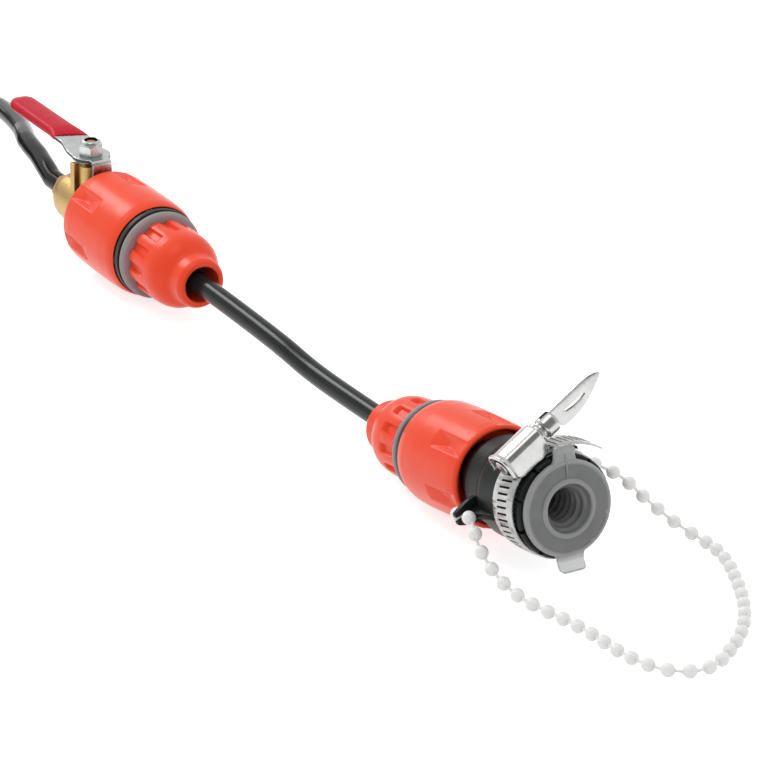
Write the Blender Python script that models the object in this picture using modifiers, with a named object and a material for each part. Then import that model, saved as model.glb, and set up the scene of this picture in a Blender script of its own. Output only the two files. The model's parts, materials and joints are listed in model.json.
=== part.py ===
"""Tap-fed flushing hose kit: tap connector, two quick connectors, a short hose, a ball valve and a 3 m hose.

The kit lies on z = 0. +X runs along the kit, from the ball valve to the tap connector, and +Z is up.
Each assembly is built in its own frame: local z along its axis and local y up. A quick connector's
frame has z = 0 at its grey stop ring, its mouth at +z and its hose nut at -z.
"""

import math

import bmesh
import bpy
from mathutils import Euler, Matrix, Vector

MM = 0.001

# Layout of the kit
KIT_X = 117.63 * MM  # moves the kit so that its box is centred on the origin
RING_TO_RING = 210.0 * MM  # from one connector's stop ring to the other's
VALVE_SIDE_Y = 1.7 * MM
TAP_PITCH = math.radians(7.0)  # the short hose's set holds the tap connector's nose up
VALVE_PITCH = math.radians(1.0)

# Clearances
GAP = 0.3 * MM  # between pieces that touch
SLIP = 0.3 * MM  # round a piece that turns or slides

# Hose
HOSE_R = 4.0 * MM
HOSE_BORE_R = 2.65 * MM
HOSE_LENGTH = 3.0

# Quick connector
RING_R = 17.5 * MM
RING_HALF = 1.6 * MM
FLANGE_R = 17.6 * MM
FLANGE_LENGTH = 2.3 * MM
CORE_R = 10.8 * MM
CORE_MOUTH_Z = 40.0 * MM
CORE_NECK_R = 11.0 * MM
CORE_NECK_LENGTH = 10.1 * MM
SOCKET_R = 8.1 * MM
SOCKET_FLOOR_Z = 19.0 * MM
WATER_R = 3.5 * MM
SPIGOT_R = 2.35 * MM
SPIGOT_BORE_R = 1.5 * MM
SPIGOT_LENGTH = 12.0 * MM
SLEEVE_MOUTH_Z = 45.0 * MM
SLEEVE_R = 19.5 * MM
SLEEVE_WALL = 1.6 * MM
SLEEVE_TRAVEL = 2.6 * MM
GUIDE_R = 11.6 * MM
SPRING_LENGTH = 14.0 * MM
SPRING_WIRE_R = 0.45 * MM
SPRING_TURNS = 5
NUT_LENGTH = 32.0 * MM
NUT_R = 15.0 * MM
NUT_NOSE_R = 10.0 * MM
NUT_HOLE_R = 7.1 * MM
NUT_SLOTS = 12
NUT_SLOT = (3.6 * MM, 8.0 * MM, 0.9 * MM)  # width, length, depth
COLLET_LENGTH = 14.0 * MM
CLAW_SIZE = (5.4 * MM, 3.6 * MM)  # width, length along the axis
CLAW_Z = 33.0 * MM
GRIP_SCOOPS = 6
SCOOP_TURN = {"tap": math.radians(18.0), "valve": math.radians(45.0)}

# Male nipple that plugs into a connector
NIPPLE_R = 7.8 * MM
NIPPLE_TIP_Z = 20.0 * MM
NIPPLE_GROOVE_R = 6.8 * MM  # where the claws lock
SEAL_GROOVE_R = 5.8 * MM
SEAL_WIRE_R = 0.75 * MM
SEAL_Z = 25.5 * MM

# Tap connector
CUP_BACK_Z = 47.0 * MM
CUP_R = 18.2 * MM
CUP_WALL = 2.3 * MM
CUP_FLOOR_Z = 52.0 * MM
RIM_Z = 88.0 * MM
RIM_R = 18.6 * MM
RIM_LENGTH = 2.3 * MM
FINGER_SLOTS = 10
FINGER_SLOT_WIDTH = 1.4 * MM
INSERT_FLANGE_R = 17.3 * MM
INSERT_FLANGE_T = 2.0 * MM
INSERT_HOLE_R = 7.1 * MM
TAB_WIDTH = 8.6 * MM
TAB_REACH = 22.4 * MM
LUG_ANGLE = math.radians(16.0)
LUG_Z = 56.0 * MM
LUG_PLATE_T = 1.4 * MM
LUG_REACH = 26.5 * MM
LUG_WIDTH = 9.0 * MM
LUG_SLIT = 1.8 * MM
LUG_LINK_R = 23.5 * MM  # where the chain's link passes through the slit

# Worm clamp
BAND_Z = 79.0 * MM
BAND_WIDTH = 12.6 * MM
BAND_T = 0.7 * MM
BAND_TAIL = math.radians(78.0)
BAND_TAIL_RISE = 4.4 * MM
SCREW_TILT = math.radians(31.5)
HOUSING_LENGTH = 16.9 * MM
HOUSING_WIDTH = 13.6 * MM
HOUSING_HEIGHT = 8.2 * MM
SCREW_R = 2.8 * MM
SCREW_COLLAR_R = 4.3 * MM
SCREW_COLLAR_T = 2.8 * MM
SCREW_HEAD_R = 4.0 * MM
SCREW_HEAD_LENGTH = 6.0 * MM
WING_LENGTH = 27.0 * MM
WING_WIDTH = 7.6 * MM
WING_T = 1.0 * MM

# Bead chain
BEAD_R = 2.5 * MM
BEAD_PITCH = 7.5 * MM
LINK_R = 0.6 * MM

# Ball valve
BALL_Z = 56.5 * MM
BALL_R = 5.4 * MM
SEAT_INNER = 3.2 * MM  # from the ball's centre to a seat's near face
SEAT_OUTER = 6.4 * MM
CHAMBER_R = 7.6 * MM
VALVE_R = 10.3 * MM
VALVE_END_Z = 73.0 * MM
TAIL_HEX_R = 6.8 * MM
TAIL_HEX_LENGTH = 4.5 * MM
BARB_LENGTH = 10.0 * MM
STEM_R = 2.3 * MM
TANG_T = 1.9 * MM
TANG_LENGTH = 1.2 * MM
BOSS_R = 6.0 * MM
BOSS_TOP = 15.0 * MM
STOP_LUG = (2.3 * MM, 3.5 * MM, 8.0 * MM, 19.4 * MM)  # reach past the boss, thickness, foot, top
PACKING_R = 4.1 * MM
PACKING_FLOOR = 9.0 * MM
LEVER_Y = 20.6 * MM
LEVER_T = 1.6 * MM
LEVER_LENGTH = 62.0 * MM
LEVER_RISE = 1.8 * MM  # of the handle over the head
LEVER_HEAD_R = 7.6 * MM
LEVER_ARM_WIDTH = 7.4 * MM  # under the grip
LEVER_ROOT_WIDTH = 12.4 * MM
LEVER_STOP_DROP = 6.5 * MM
GRIP_START = 19.0 * MM
GRIP_WIDTH = 11.0 * MM
GRIP_T = 5.0 * MM
LEVER_NUT_R = 5.1 * MM

# Coil of stored hose
COIL_CENTRE = (-456.0 * MM, -30.0 * MM)
COIL_MEAN_R = 48.0 * MM
COIL_LAYER_TURNS = 2.0
COIL_LAYERS = 4
COIL_PITCH = 8.7 * MM
COIL_START = math.radians(100.0)
LOOP_POINTS = 24
TIE_WIDTH = 12.0 * MM
TIE_T = 1.0 * MM
TIE_ANGLES = (math.radians(190.0), math.radians(330.0))
NOZZLE_LENGTH = 26.0 * MM
NOZZLE_R = 4.2 * MM

MODEL = bpy.data.collections.new("flushing_hose_kit")
CUTTERS = bpy.data.collections.new("cutters")


def clear_scene():
    for obj in list(bpy.data.objects):
        bpy.data.objects.remove(obj, do_unlink=True)
    bpy.context.scene.collection.children.link(MODEL)
    bpy.context.scene.collection.children.link(CUTTERS)


def linear(channel):
    return channel / 12.92 if channel <= 0.04045 else ((channel + 0.055) / 1.055) ** 2.4


def material(name, hex_colour, roughness, metallic=0.0):
    made = bpy.data.materials.new(name)
    made.use_nodes = True
    shader = made.node_tree.nodes["Principled BSDF"]
    channels = [int(hex_colour[i : i + 2], 16) / 255 for i in (0, 2, 4)]
    shader.inputs["Base Color"].default_value = (*map(linear, channels), 1.0)
    shader.inputs["Roughness"].default_value = roughness
    shader.inputs["Metallic"].default_value = metallic
    return made


clear_scene()
ORANGE = material("orange_abs", "F5562F", 0.35)
RING_GREY = material("grey_rubber", "8F8A8C", 0.5)
DARK_GREY = material("dark_acetal", "3A3F3C", 0.45)
BLACK = material("black_abs", "2A2C2B", 0.35)
HOSE_BLACK = material("black_pvc", "2B2D2C", 0.3)
CLEAR_GREY = material("soft_grey_tpe", "A0A0A0", 0.4)
BRASS = material("brass", "C0A068", 0.35, 1.0)
STEEL = material("stainless_steel", "B5B5B5", 0.3, 1.0)
ZINC = material("zinc_plated_steel", "C5C8C6", 0.35, 0.9)
RED = material("red_vinyl", "D8263A", 0.4)
WHITE = material("white_polystyrene", "F0F0F0", 0.4)
SEAL = material("nitrile_rubber", "1C1C1C", 0.6)
PTFE = material("ptfe", "EDEDE8", 0.5)
STRAP = material("black_nylon_strap", "222222", 0.8)


def empty(name, location, rotation=(0, 0, 0), parent=None):
    made = bpy.data.objects.new(name, None)
    made.location = location
    made.rotation_euler = rotation
    made.parent = parent
    MODEL.objects.link(made)
    return made


def add(name, data, parent, finish, collection=MODEL):
    made = bpy.data.objects.new(name, data)
    made.parent = parent
    collection.objects.link(made)
    if collection is CUTTERS:
        made.hide_render = True
        made.display_type = "WIRE"
    else:
        data.materials.append(finish)
    return made


def turned(name, profile, parent, finish=None, steps=32, collection=MODEL, smooth=True):
    """Turns (radius, z) points about local z: down the outer side, then up the bore if there is one."""
    mesh = bpy.data.meshes.new(name)
    hollow = all(radius > 0 for radius, _ in profile)
    edges = [(i, i + 1) for i in range(len(profile) - 1)]
    if hollow:
        edges.append((len(profile) - 1, 0))
    mesh.from_pydata([(radius, 0, z) for radius, z in profile], edges, [])
    made = add(name, mesh, parent, finish, collection)
    screw = made.modifiers.new("Turn", "SCREW")
    screw.axis = "Z"
    screw.steps = steps
    screw.render_steps = steps
    screw.use_merge_vertices = True
    screw.merge_threshold = 0.00001
    screw.use_smooth_shade = smooth
    return made


def solid_mesh(name, build):
    """A mesh filled by build(bm)."""
    mesh = bpy.data.meshes.new(name)
    bm = bmesh.new()
    build(bm)
    bm.to_mesh(mesh)
    bm.free()
    return mesh


def boxes(name, places, parent, finish=None, collection=CUTTERS):
    """One mesh of boxes, each given as (size, matrix)."""

    def build(bm):
        for size, matrix in places:
            stretch = Matrix.Diagonal((*size, 1.0))
            bmesh.ops.create_cube(bm, size=1.0, matrix=matrix @ stretch)

    return add(name, solid_mesh(name, build), parent, finish, collection)


def rod(name, radius, length, matrix, parent, finish=None, sides=24, collection=CUTTERS, tip=None):
    """A round bar along the matrix's z, centred on it."""

    def build(bm):
        bmesh.ops.create_cone(
            bm,
            cap_ends=True,
            segments=sides,
            radius1=radius,
            radius2=radius if tip is None else tip,
            depth=length,
            matrix=matrix,
        )

    made = add(name, solid_mesh(name, build), parent, finish, collection)
    for face in made.data.polygons:
        face.use_smooth = len(face.vertices) == 4
    return made


def cut(piece, cutter, operation="DIFFERENCE"):
    boolean = piece.modifiers.new(cutter.name, "BOOLEAN")
    boolean.operation = operation
    boolean.object = cutter


def outline(name, loops, half_thickness, matrix, parent, finish=None, collection=MODEL):
    """A flat outline, with any holes as further loops, extruded both ways; made a mesh."""
    curve = bpy.data.curves.new(name, "CURVE")
    curve.dimensions = "2D"
    curve.fill_mode = "BOTH"
    curve.extrude = half_thickness
    for loop in loops:
        spline = curve.splines.new("POLY")
        spline.points.add(len(loop) - 1)
        for point, place in zip(spline.points, loop):
            point.co = (*place, 0, 1)
        spline.use_cyclic_u = True
    guide = add(name + "_outline", curve, None, None, CUTTERS)
    made = as_mesh(guide, name, parent, finish, collection)
    made.data.transform(matrix)
    return made


def as_mesh(guide, name, parent, finish, collection=MODEL):
    """The curve's closed mesh under a new name. The curve is removed."""
    bpy.context.view_layer.update()
    evaluated = guide.evaluated_get(bpy.context.evaluated_depsgraph_get())
    mesh = bpy.data.meshes.new_from_object(evaluated)
    mesh.name = name
    bm = bmesh.new()
    bm.from_mesh(mesh)
    bmesh.ops.remove_doubles(bm, verts=bm.verts, dist=0.000001)
    bmesh.ops.recalc_face_normals(bm, faces=bm.faces)
    bm.to_mesh(mesh)
    bm.free()
    mesh.materials.clear()
    bpy.data.objects.remove(guide, do_unlink=True)
    return add(name, mesh, parent, finish, collection)


def tube(name, points, radius, parent, finish, bevel_resolution=2, radii=None, cyclic=False):
    curve = bpy.data.curves.new(name, "CURVE")
    curve.dimensions = "3D"
    curve.bevel_depth = radius
    curve.bevel_resolution = bevel_resolution
    curve.use_fill_caps = not cyclic
    spline = curve.splines.new("POLY")
    spline.points.add(len(points) - 1)
    spline.use_cyclic_u = cyclic
    for i, place in enumerate(points):
        spline.points[i].co = (*place, 1)
        spline.points[i].radius = radii[i] if radii else 1.0
    spline.use_smooth = True
    return add(name, curve, parent, finish)


def smooth_route(route, step):
    """Points about a step apart on the smooth curve through the route's points."""
    ends = [route[0] * 2 - route[1], *route, route[-1] * 2 - route[-2]]
    places = [route[0]]
    for a, b, c, d in zip(ends, ends[1:], ends[2:], ends[3:]):
        pieces = max(1, round((c - b).length / step))
        for i in range(1, pieces + 1):
            t = i / pieces
            square = (2 * a - 5 * b + 4 * c - d) * t**2
            cube = (3 * b - a - 3 * c + d) * t**3
            places.append(0.5 * (2 * b + (c - a) * t + square + cube))
    return places


def length_of(points):
    return sum((b - a).length for a, b in zip(points, points[1:]))


def arc(radius, start, end, count):
    """Points of a round stretch, from one angle to another."""
    angles = [start + (end - start) * i / (count - 1) for i in range(count)]
    return [(radius * math.cos(angle), radius * math.sin(angle)) for angle in angles]


# Outer side of the grip sleeve, from its mouth to the end that faces the stop ring
SLEEVE_REAR_Z = RING_HALF + GAP + FLANGE_LENGTH + GAP
SLEEVE_OUTSIDE = [
    (SLEEVE_R - 1.3 * MM, SLEEVE_MOUTH_Z),
    (SLEEVE_R - 0.6 * MM, SLEEVE_MOUTH_Z - 1.0 * MM),
    (SLEEVE_R - 0.2 * MM, SLEEVE_MOUTH_Z - 5.0 * MM),
    (SLEEVE_R, SLEEVE_MOUTH_Z - 16.0 * MM),
    (SLEEVE_R, SLEEVE_REAR_Z + 10.0 * MM),
    (SLEEVE_R - 0.3 * MM, SLEEVE_REAR_Z + 2.5 * MM),
    (SLEEVE_R - 0.8 * MM, SLEEVE_REAR_Z),
]


def resting_height(pitch):
    """Height of a connector's stop ring when its sleeve touches the surface."""
    return max(radius * math.cos(pitch) - z * math.sin(pitch) for radius, z in SLEEVE_OUTSIDE)


KIT = empty("kit", (KIT_X, 0, 0))
TAP_SIDE = empty(
    "tap_side", (0, 0, resting_height(TAP_PITCH)), (math.pi / 2 - TAP_PITCH, 0, math.pi / 2), KIT
)
VALVE_SIDE = empty(
    "valve_side",
    (-RING_TO_RING, VALVE_SIDE_Y, resting_height(VALVE_PITCH)),
    (math.pi / 2 - VALVE_PITCH, 0, -math.pi / 2),
    KIT,
)


def in_kit(frame, place):
    """A point of an assembly's frame, in the kit's frame."""
    turn = Euler(frame.rotation_euler).to_matrix()
    return Vector(frame.location) + turn @ Vector(place)


# Quick connector
CORE_END_Z = -(CORE_NECK_LENGTH - RING_HALF - GAP) - 1.7 * MM
NUT_BACK_Z = -RING_HALF - GAP
NUT_NOSE_Z = NUT_BACK_Z - NUT_LENGTH
SPIGOT_TIP_Z = CORE_END_Z - SPIGOT_LENGTH
SPRING_R = (GUIDE_R + SLEEVE_R - SLEEVE_WALL) / 2 - 1.6 * MM


def make_core(side, frame):
    flange_top = SLEEVE_REAR_Z - GAP
    profile = [
        (CORE_R, CORE_MOUTH_Z),
        (CORE_R, flange_top),
        (FLANGE_R, flange_top),
        (FLANGE_R, flange_top - FLANGE_LENGTH),
        (CORE_NECK_R, flange_top - FLANGE_LENGTH),
        (CORE_NECK_R, CORE_END_Z),
        (SPIGOT_R, CORE_END_Z),
        (SPIGOT_R, SPIGOT_TIP_Z),
        (SPIGOT_BORE_R, SPIGOT_TIP_Z),
        (SPIGOT_BORE_R, CORE_END_Z + 2.0 * MM),
        (WATER_R, CORE_END_Z + 4.0 * MM),
        (WATER_R, SOCKET_FLOOR_Z),
        (SOCKET_R, SOCKET_FLOOR_Z),
        (SOCKET_R, CORE_MOUTH_Z),
    ]
    core = turned(f"connector_core_{side}", profile, frame, DARK_GREY, 16)
    window = (CLAW_SIZE[0] + 2 * SLIP, 2 * CORE_R + 2 * MM, CLAW_SIZE[1] + 2 * SLIP)
    place = Matrix.Translation((0, 0, CLAW_Z))
    cut(core, boxes(f"claw_windows_{side}", [(window, place)], frame))


def make_claws(side, frame):
    inner = NIPPLE_GROOVE_R + GAP
    outer = GUIDE_R - GAP
    for letter, sign in (("a", 1), ("b", -1)):
        size = (CLAW_SIZE[0], outer - inner, CLAW_SIZE[1])
        place = Matrix.Translation((0, sign * (inner + outer) / 2, CLAW_Z))
        claw = boxes(f"locking_claw_{side}{letter}", [(size, place)], frame, STEEL, MODEL)
        high = CLAW_Z + CLAW_SIZE[1]
        low = CLAW_Z - CLAW_SIZE[1]
        ring = [(outer, high), (outer, low), (inner, low), (inner, high)]
        keep = turned(f"claw_outside_{side}{letter}", ring, frame, collection=CUTTERS)
        cut(claw, keep, "INTERSECT")


def make_sleeve(side, frame):
    bore = SLEEVE_R - SLEEVE_WALL
    step = SLEEVE_REAR_Z + SPRING_LENGTH + SLEEVE_TRAVEL + GAP
    inside = [
        (bore, SLEEVE_REAR_Z),
        (bore, step),
        (GUIDE_R, step),
        (GUIDE_R, CORE_MOUTH_Z - 3.0 * MM),
        (bore - 2.0 * MM, CORE_MOUTH_Z - 1.0 * MM),
        (bore - 0.7 * MM, SLEEVE_MOUTH_Z),
    ]
    sleeve = turned(f"grip_sleeve_{side}", SLEEVE_OUTSIDE + inside, frame, ORANGE, 24)
    places = []
    for i in range(GRIP_SCOOPS):
        turn = Matrix.Rotation(2 * math.pi * i / GRIP_SCOOPS + SCOOP_TURN[side], 4, "Z")
        lean = Matrix.Rotation(math.radians(5.0), 4, "Y")
        reach = Matrix.Translation((SLEEVE_R + 1.3 * MM, 0, SLEEVE_MOUTH_Z - 11.0 * MM))
        places.append(((4.6 * MM, 7.0 * MM, 16.0 * MM), turn @ reach @ lean))
    cut(sleeve, boxes(f"grip_scoops_{side}", places, frame))


def make_stop_ring(side, frame):
    inner = CORE_NECK_R + SLIP
    profile = [
        (RING_R - 1.0 * MM, RING_HALF),
        (RING_R, RING_HALF / 2),
        (RING_R, -RING_HALF / 2),
        (RING_R - 1.0 * MM, -RING_HALF),
        (inner, -RING_HALF),
        (inner, RING_HALF),
    ]
    turned(f"stop_ring_{side}", profile, frame, RING_GREY, 24)


def make_nut(side, frame):
    seat = CORE_END_Z - 2 * GAP
    nose = NUT_NOSE_Z
    profile = [
        (NUT_R, NUT_BACK_Z),
        (NUT_R, nose + 17.0 * MM),
        (NUT_R - 0.5 * MM, nose + 14.0 * MM),
        (NUT_R - 2.0 * MM, nose + 11.0 * MM),
        (NUT_NOSE_R + 0.6 * MM, nose + 8.4 * MM),
        (NUT_NOSE_R, nose + 7.0 * MM),
        (NUT_NOSE_R, nose + 1.6 * MM),
        (NUT_NOSE_R - 1.0 * MM, nose),
        (NUT_HOLE_R, nose),
        (NUT_HOLE_R, seat),
        (CORE_NECK_R + SLIP, seat),
        (CORE_NECK_R + SLIP, NUT_BACK_Z),
    ]
    nut = turned(f"hose_nut_{side}", profile, frame, ORANGE, 24)
    width, length, depth = NUT_SLOT
    places = []
    for i in range(NUT_SLOTS):
        turn = Matrix.Rotation(2 * math.pi * i / NUT_SLOTS, 4, "Z")
        reach = Matrix.Translation((NUT_R, 0, NUT_BACK_Z - 3.0 * MM - length / 2))
        places.append(((2 * depth, width, length), turn @ reach))
    cut(nut, boxes(f"nut_slots_{side}", places, frame))


def make_collet(side, frame):
    top = CORE_END_Z - 2 * GAP
    inner = HOSE_R + GAP
    outer = NUT_HOLE_R - GAP
    profile = [
        (outer, top),
        (outer - 0.4 * MM, top - COLLET_LENGTH),
        (inner, top - COLLET_LENGTH),
        (inner, top),
    ]
    collet = turned(f"hose_collet_{side}", profile, frame, DARK_GREY, 16)
    slits = []
    for i in range(2):
        turn = Matrix.Rotation(math.pi * i / 2 + math.pi / 4, 4, "Z")
        drop = Matrix.Translation((0, 0, top - COLLET_LENGTH))
        slits.append(((1.2 * MM, 3 * outer, COLLET_LENGTH), turn @ drop))
    first = boxes(f"collet_slit_a_{side}", slits[:1], frame)
    second = boxes(f"collet_slit_b_{side}", slits[1:], frame)
    cut(collet, first)
    cut(collet, second)


def make_spring(side, frame):
    per_turn = 10
    count = SPRING_TURNS * per_turn
    bottom = SLEEVE_REAR_Z - GAP + SPRING_WIRE_R + 0.1 * MM
    rise = (SPRING_LENGTH - 2 * SPRING_WIRE_R) / count
    places = []
    for i in range(count + 1):
        angle = 2 * math.pi * i / per_turn
        places.append(Vector((SPRING_R * math.cos(angle), SPRING_R * math.sin(angle), bottom + i * rise)))
    tube(f"sleeve_spring_{side}", places, SPRING_WIRE_R, frame, STEEL, 0)


def make_seal(name, frame):
    """An O-ring in the groove of a nipple."""
    ring_r = SEAL_GROOVE_R + SEAL_WIRE_R + 0.1 * MM
    places = [Vector((x, y, SEAL_Z)) for x, y in arc(ring_r, 0, 2 * math.pi * 15 / 16, 16)]
    tube(name, places, SEAL_WIRE_R, frame, SEAL, 1, cyclic=True)


def make_connector(side, frame):
    make_core(side, frame)
    make_claws(side, frame)
    make_sleeve(side, frame)
    make_stop_ring(side, frame)
    make_nut(side, frame)
    make_collet(side, frame)
    make_spring(side, frame)


def nipple_profile():
    """Outer side of the plug-in nipple, from its shoulder down to its tip."""
    groove = SEAL_Z + SEAL_WIRE_R + 0.2 * MM
    claw = CLAW_SIZE[1] / 2 + SLIP
    return [
        (NIPPLE_R, CORE_MOUTH_Z + 2 * GAP),
        (NIPPLE_R, CLAW_Z + claw),
        (NIPPLE_GROOVE_R, CLAW_Z + claw),
        (NIPPLE_GROOVE_R, CLAW_Z - claw),
        (NIPPLE_R, CLAW_Z - claw),
        (NIPPLE_R, groove),
        (SEAL_GROOVE_R, groove),
        (SEAL_GROOVE_R, SEAL_Z - SEAL_WIRE_R - 0.2 * MM),
        (NIPPLE_R, SEAL_Z - SEAL_WIRE_R - 0.2 * MM),
        (NIPPLE_R, NIPPLE_TIP_Z + 1.5 * MM),
        (NIPPLE_R - 1.0 * MM, NIPPLE_TIP_Z),
    ]


# Tap connector
def lug_matrix(sign):
    """Places a lug whose x runs outwards: the near one points down, and its twin is opposite."""
    turn = Matrix.Rotation(LUG_ANGLE + (math.pi if sign < 0 else 0), 4, "Z")
    return turn @ Matrix.Translation((0, 0, LUG_Z))


def make_tap_body():
    profile = [
        (RIM_R - 0.5 * MM, RIM_Z),
        (RIM_R, RIM_Z - 0.8 * MM),
        (RIM_R, RIM_Z - RIM_LENGTH),
        (CUP_R, RIM_Z - RIM_LENGTH),
        (CUP_R, CUP_FLOOR_Z + 8.0 * MM),
        (CUP_R - 1.4 * MM, CUP_FLOOR_Z + 4.0 * MM),
        (CUP_R - 1.8 * MM, CUP_BACK_Z + 1.0 * MM),
        (CUP_R - 5.0 * MM, CORE_MOUTH_Z + 2 * GAP),
        *nipple_profile(),
        (WATER_R, NIPPLE_TIP_Z),
        (WATER_R, CUP_FLOOR_Z),
        (CUP_R - CUP_WALL, CUP_FLOOR_Z),
        (CUP_R - CUP_WALL, RIM_Z),
    ]
    body = turned("tap_body", profile, TAP_SIDE, BLACK, 28)
    lugs = []
    for sign in (1, -1):
        inner = CUP_R - CUP_WALL + GAP
        size = (LUG_REACH - inner, LUG_WIDTH, LUG_PLATE_T)
        lugs.append((size, lug_matrix(sign) @ Matrix.Translation(((LUG_REACH + inner) / 2, 0, 0))))
    for i, lug in enumerate(lugs):
        cut(body, boxes(f"chain_lug_{i}", [lug], TAP_SIDE), "UNION")
    slits = []
    for sign in (1, -1):
        depth = LUG_REACH - LUG_LINK_R + LUG_SLIT
        shift = Matrix.Translation((LUG_REACH - depth / 2 + 1.0 * MM, 0, 0))
        slits.append(((depth + 2.0 * MM, LUG_SLIT, 3 * LUG_PLATE_T), lug_matrix(sign) @ shift))
    cut(body, boxes("lug_slits", slits, TAP_SIDE))
    fingers = []
    length = 18.0 * MM
    for i in range(FINGER_SLOTS):
        turn = Matrix.Rotation(2 * math.pi * (i + 0.5) / FINGER_SLOTS, 4, "Z")
        reach = Matrix.Translation((CUP_R - CUP_WALL / 2, 0, RIM_Z - length / 2 + 1.0 * MM))
        fingers.append(((CUP_WALL + 4.0 * MM, FINGER_SLOT_WIDTH, length + 2.0 * MM), turn @ reach))
    cut(body, boxes("finger_slots", fingers, TAP_SIDE))
    notch = (TAB_WIDTH + 2 * GAP, 3 * RIM_R, RIM_LENGTH + 2.0 * MM)
    place = Matrix.Translation((0, 0, RIM_Z - RIM_LENGTH / 2 + 1.0 * MM))
    cut(body, boxes("tab_notch", [(notch, place)], TAP_SIDE))


def make_insert():
    outer = CUP_R - CUP_WALL - GAP
    front = RIM_Z + GAP + INSERT_FLANGE_T
    back = CUP_FLOOR_Z + GAP
    profile = [
        (INSERT_HOLE_R + 3.2 * MM, front + 0.9 * MM),
        (INSERT_HOLE_R + 3.6 * MM, front),
        (INSERT_FLANGE_R - 0.5 * MM, front),
        (INSERT_FLANGE_R, front - 0.5 * MM),
        (INSERT_FLANGE_R, RIM_Z + GAP),
        (outer, RIM_Z + GAP),
        (outer, back),
        (INSERT_HOLE_R - 1.5 * MM, back),
        (INSERT_HOLE_R - 1.5 * MM, back + 12.0 * MM),
        (INSERT_HOLE_R, back + 12.0 * MM),
    ]
    ribs = 3
    for i in range(ribs):
        z = back + 14.0 * MM + i * 6.0 * MM
        profile += [
            (INSERT_HOLE_R, z),
            (INSERT_HOLE_R - 0.6 * MM, z + 1.0 * MM),
            (INSERT_HOLE_R - 0.6 * MM, z + 2.0 * MM),
            (INSERT_HOLE_R, z + 3.0 * MM),
        ]
    profile.append((INSERT_HOLE_R + 1.0 * MM, front + 0.9 * MM))
    insert = turned("tap_insert", profile, TAP_SIDE, CLEAR_GREY, 24)
    depth = INSERT_FLANGE_T + RIM_LENGTH - 2 * GAP
    inner = INSERT_FLANGE_R - 2.0 * MM
    for name, sign in (("top_tab", 1), ("bottom_tab", -1)):
        size = (TAB_WIDTH, TAB_REACH - inner, depth)
        place = Matrix.Translation((0, sign * (TAB_REACH + inner) / 2, front - depth / 2))
        cut(insert, boxes(name, [(size, place)], TAP_SIDE), "UNION")


def band_radius(angle):
    """Centre line of the clamp's strip: a ring, a rise over its own start, and a lifted tail."""
    inner = CUP_R + GAP + BAND_T / 2
    step = BAND_T + GAP
    rise_start = math.radians(250.0)
    rise_end = math.radians(320.0)
    if angle < rise_start:
        return inner
    if angle < rise_end:
        return inner + step * (angle - rise_start) / (rise_end - rise_start)
    if angle < 2 * math.pi + math.radians(12.0):
        return inner + step
    share = (angle - 2 * math.pi - math.radians(12.0)) / (BAND_TAIL - math.radians(12.0))
    return inner + step + BAND_TAIL_RISE * share**1.6


def make_band():
    """The strip starts under the housing and goes round over -x, below, and back over itself."""
    count = 56
    total = 2 * math.pi + BAND_TAIL
    start = math.pi / 2 + SCREW_TILT
    outside = []
    inside = []
    for i in range(count + 1):
        angle = total * i / count
        turn = start - angle
        radius = band_radius(angle)
        outside.append(((radius + BAND_T / 2) * math.cos(turn), (radius + BAND_T / 2) * math.sin(turn)))
        inside.append(((radius - BAND_T / 2) * math.cos(turn), (radius - BAND_T / 2) * math.sin(turn)))
    loop = outside + inside[::-1]
    outline("clamp_band", [loop], BAND_WIDTH / 2, Matrix.Translation((0, 0, BAND_Z)), TAP_SIDE, STEEL)


HOUSING_BASE = CUP_R + 2 * GAP + 2 * BAND_T + GAP
SCREW_HEIGHT = HOUSING_BASE + HOUSING_HEIGHT - HOUSING_WIDTH / 2 + 1.4 * MM
CLAMP = empty("clamp_frame", (0, 0, BAND_Z), (0, 0, SCREW_TILT), TAP_SIDE)
SCREW = empty("clamp_screw_axis", (0, SCREW_HEIGHT, 0), (0, math.pi / 2, 0), CLAMP)


def make_housing():
    """A saddle with a rounded back: the outline lies across the screw, in the screw's x-y plane."""
    half = HOUSING_WIDTH / 2
    base = HOUSING_BASE - SCREW_HEIGHT
    crown_r = HOUSING_BASE + HOUSING_HEIGHT - SCREW_HEIGHT
    side = half - 0.8 * MM
    loop = [(half, base), (half, base + 1.5 * MM), (side, base + 3.0 * MM)]
    loop += [(x * side / crown_r, y) for x, y in arc(crown_r, 0.1, math.pi - 0.1, 11)]
    loop += [(-side, base + 3.0 * MM), (-half, base + 1.5 * MM), (-half, base)]
    housing = outline("clamp_housing", [loop], HOUSING_LENGTH / 2, Matrix.Identity(4), SCREW, STEEL)
    bore = rod("housing_bore", SCREW_R + SLIP, 2 * HOUSING_LENGTH, Matrix.Identity(4), SCREW, sides=20)
    cut(housing, bore)


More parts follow.
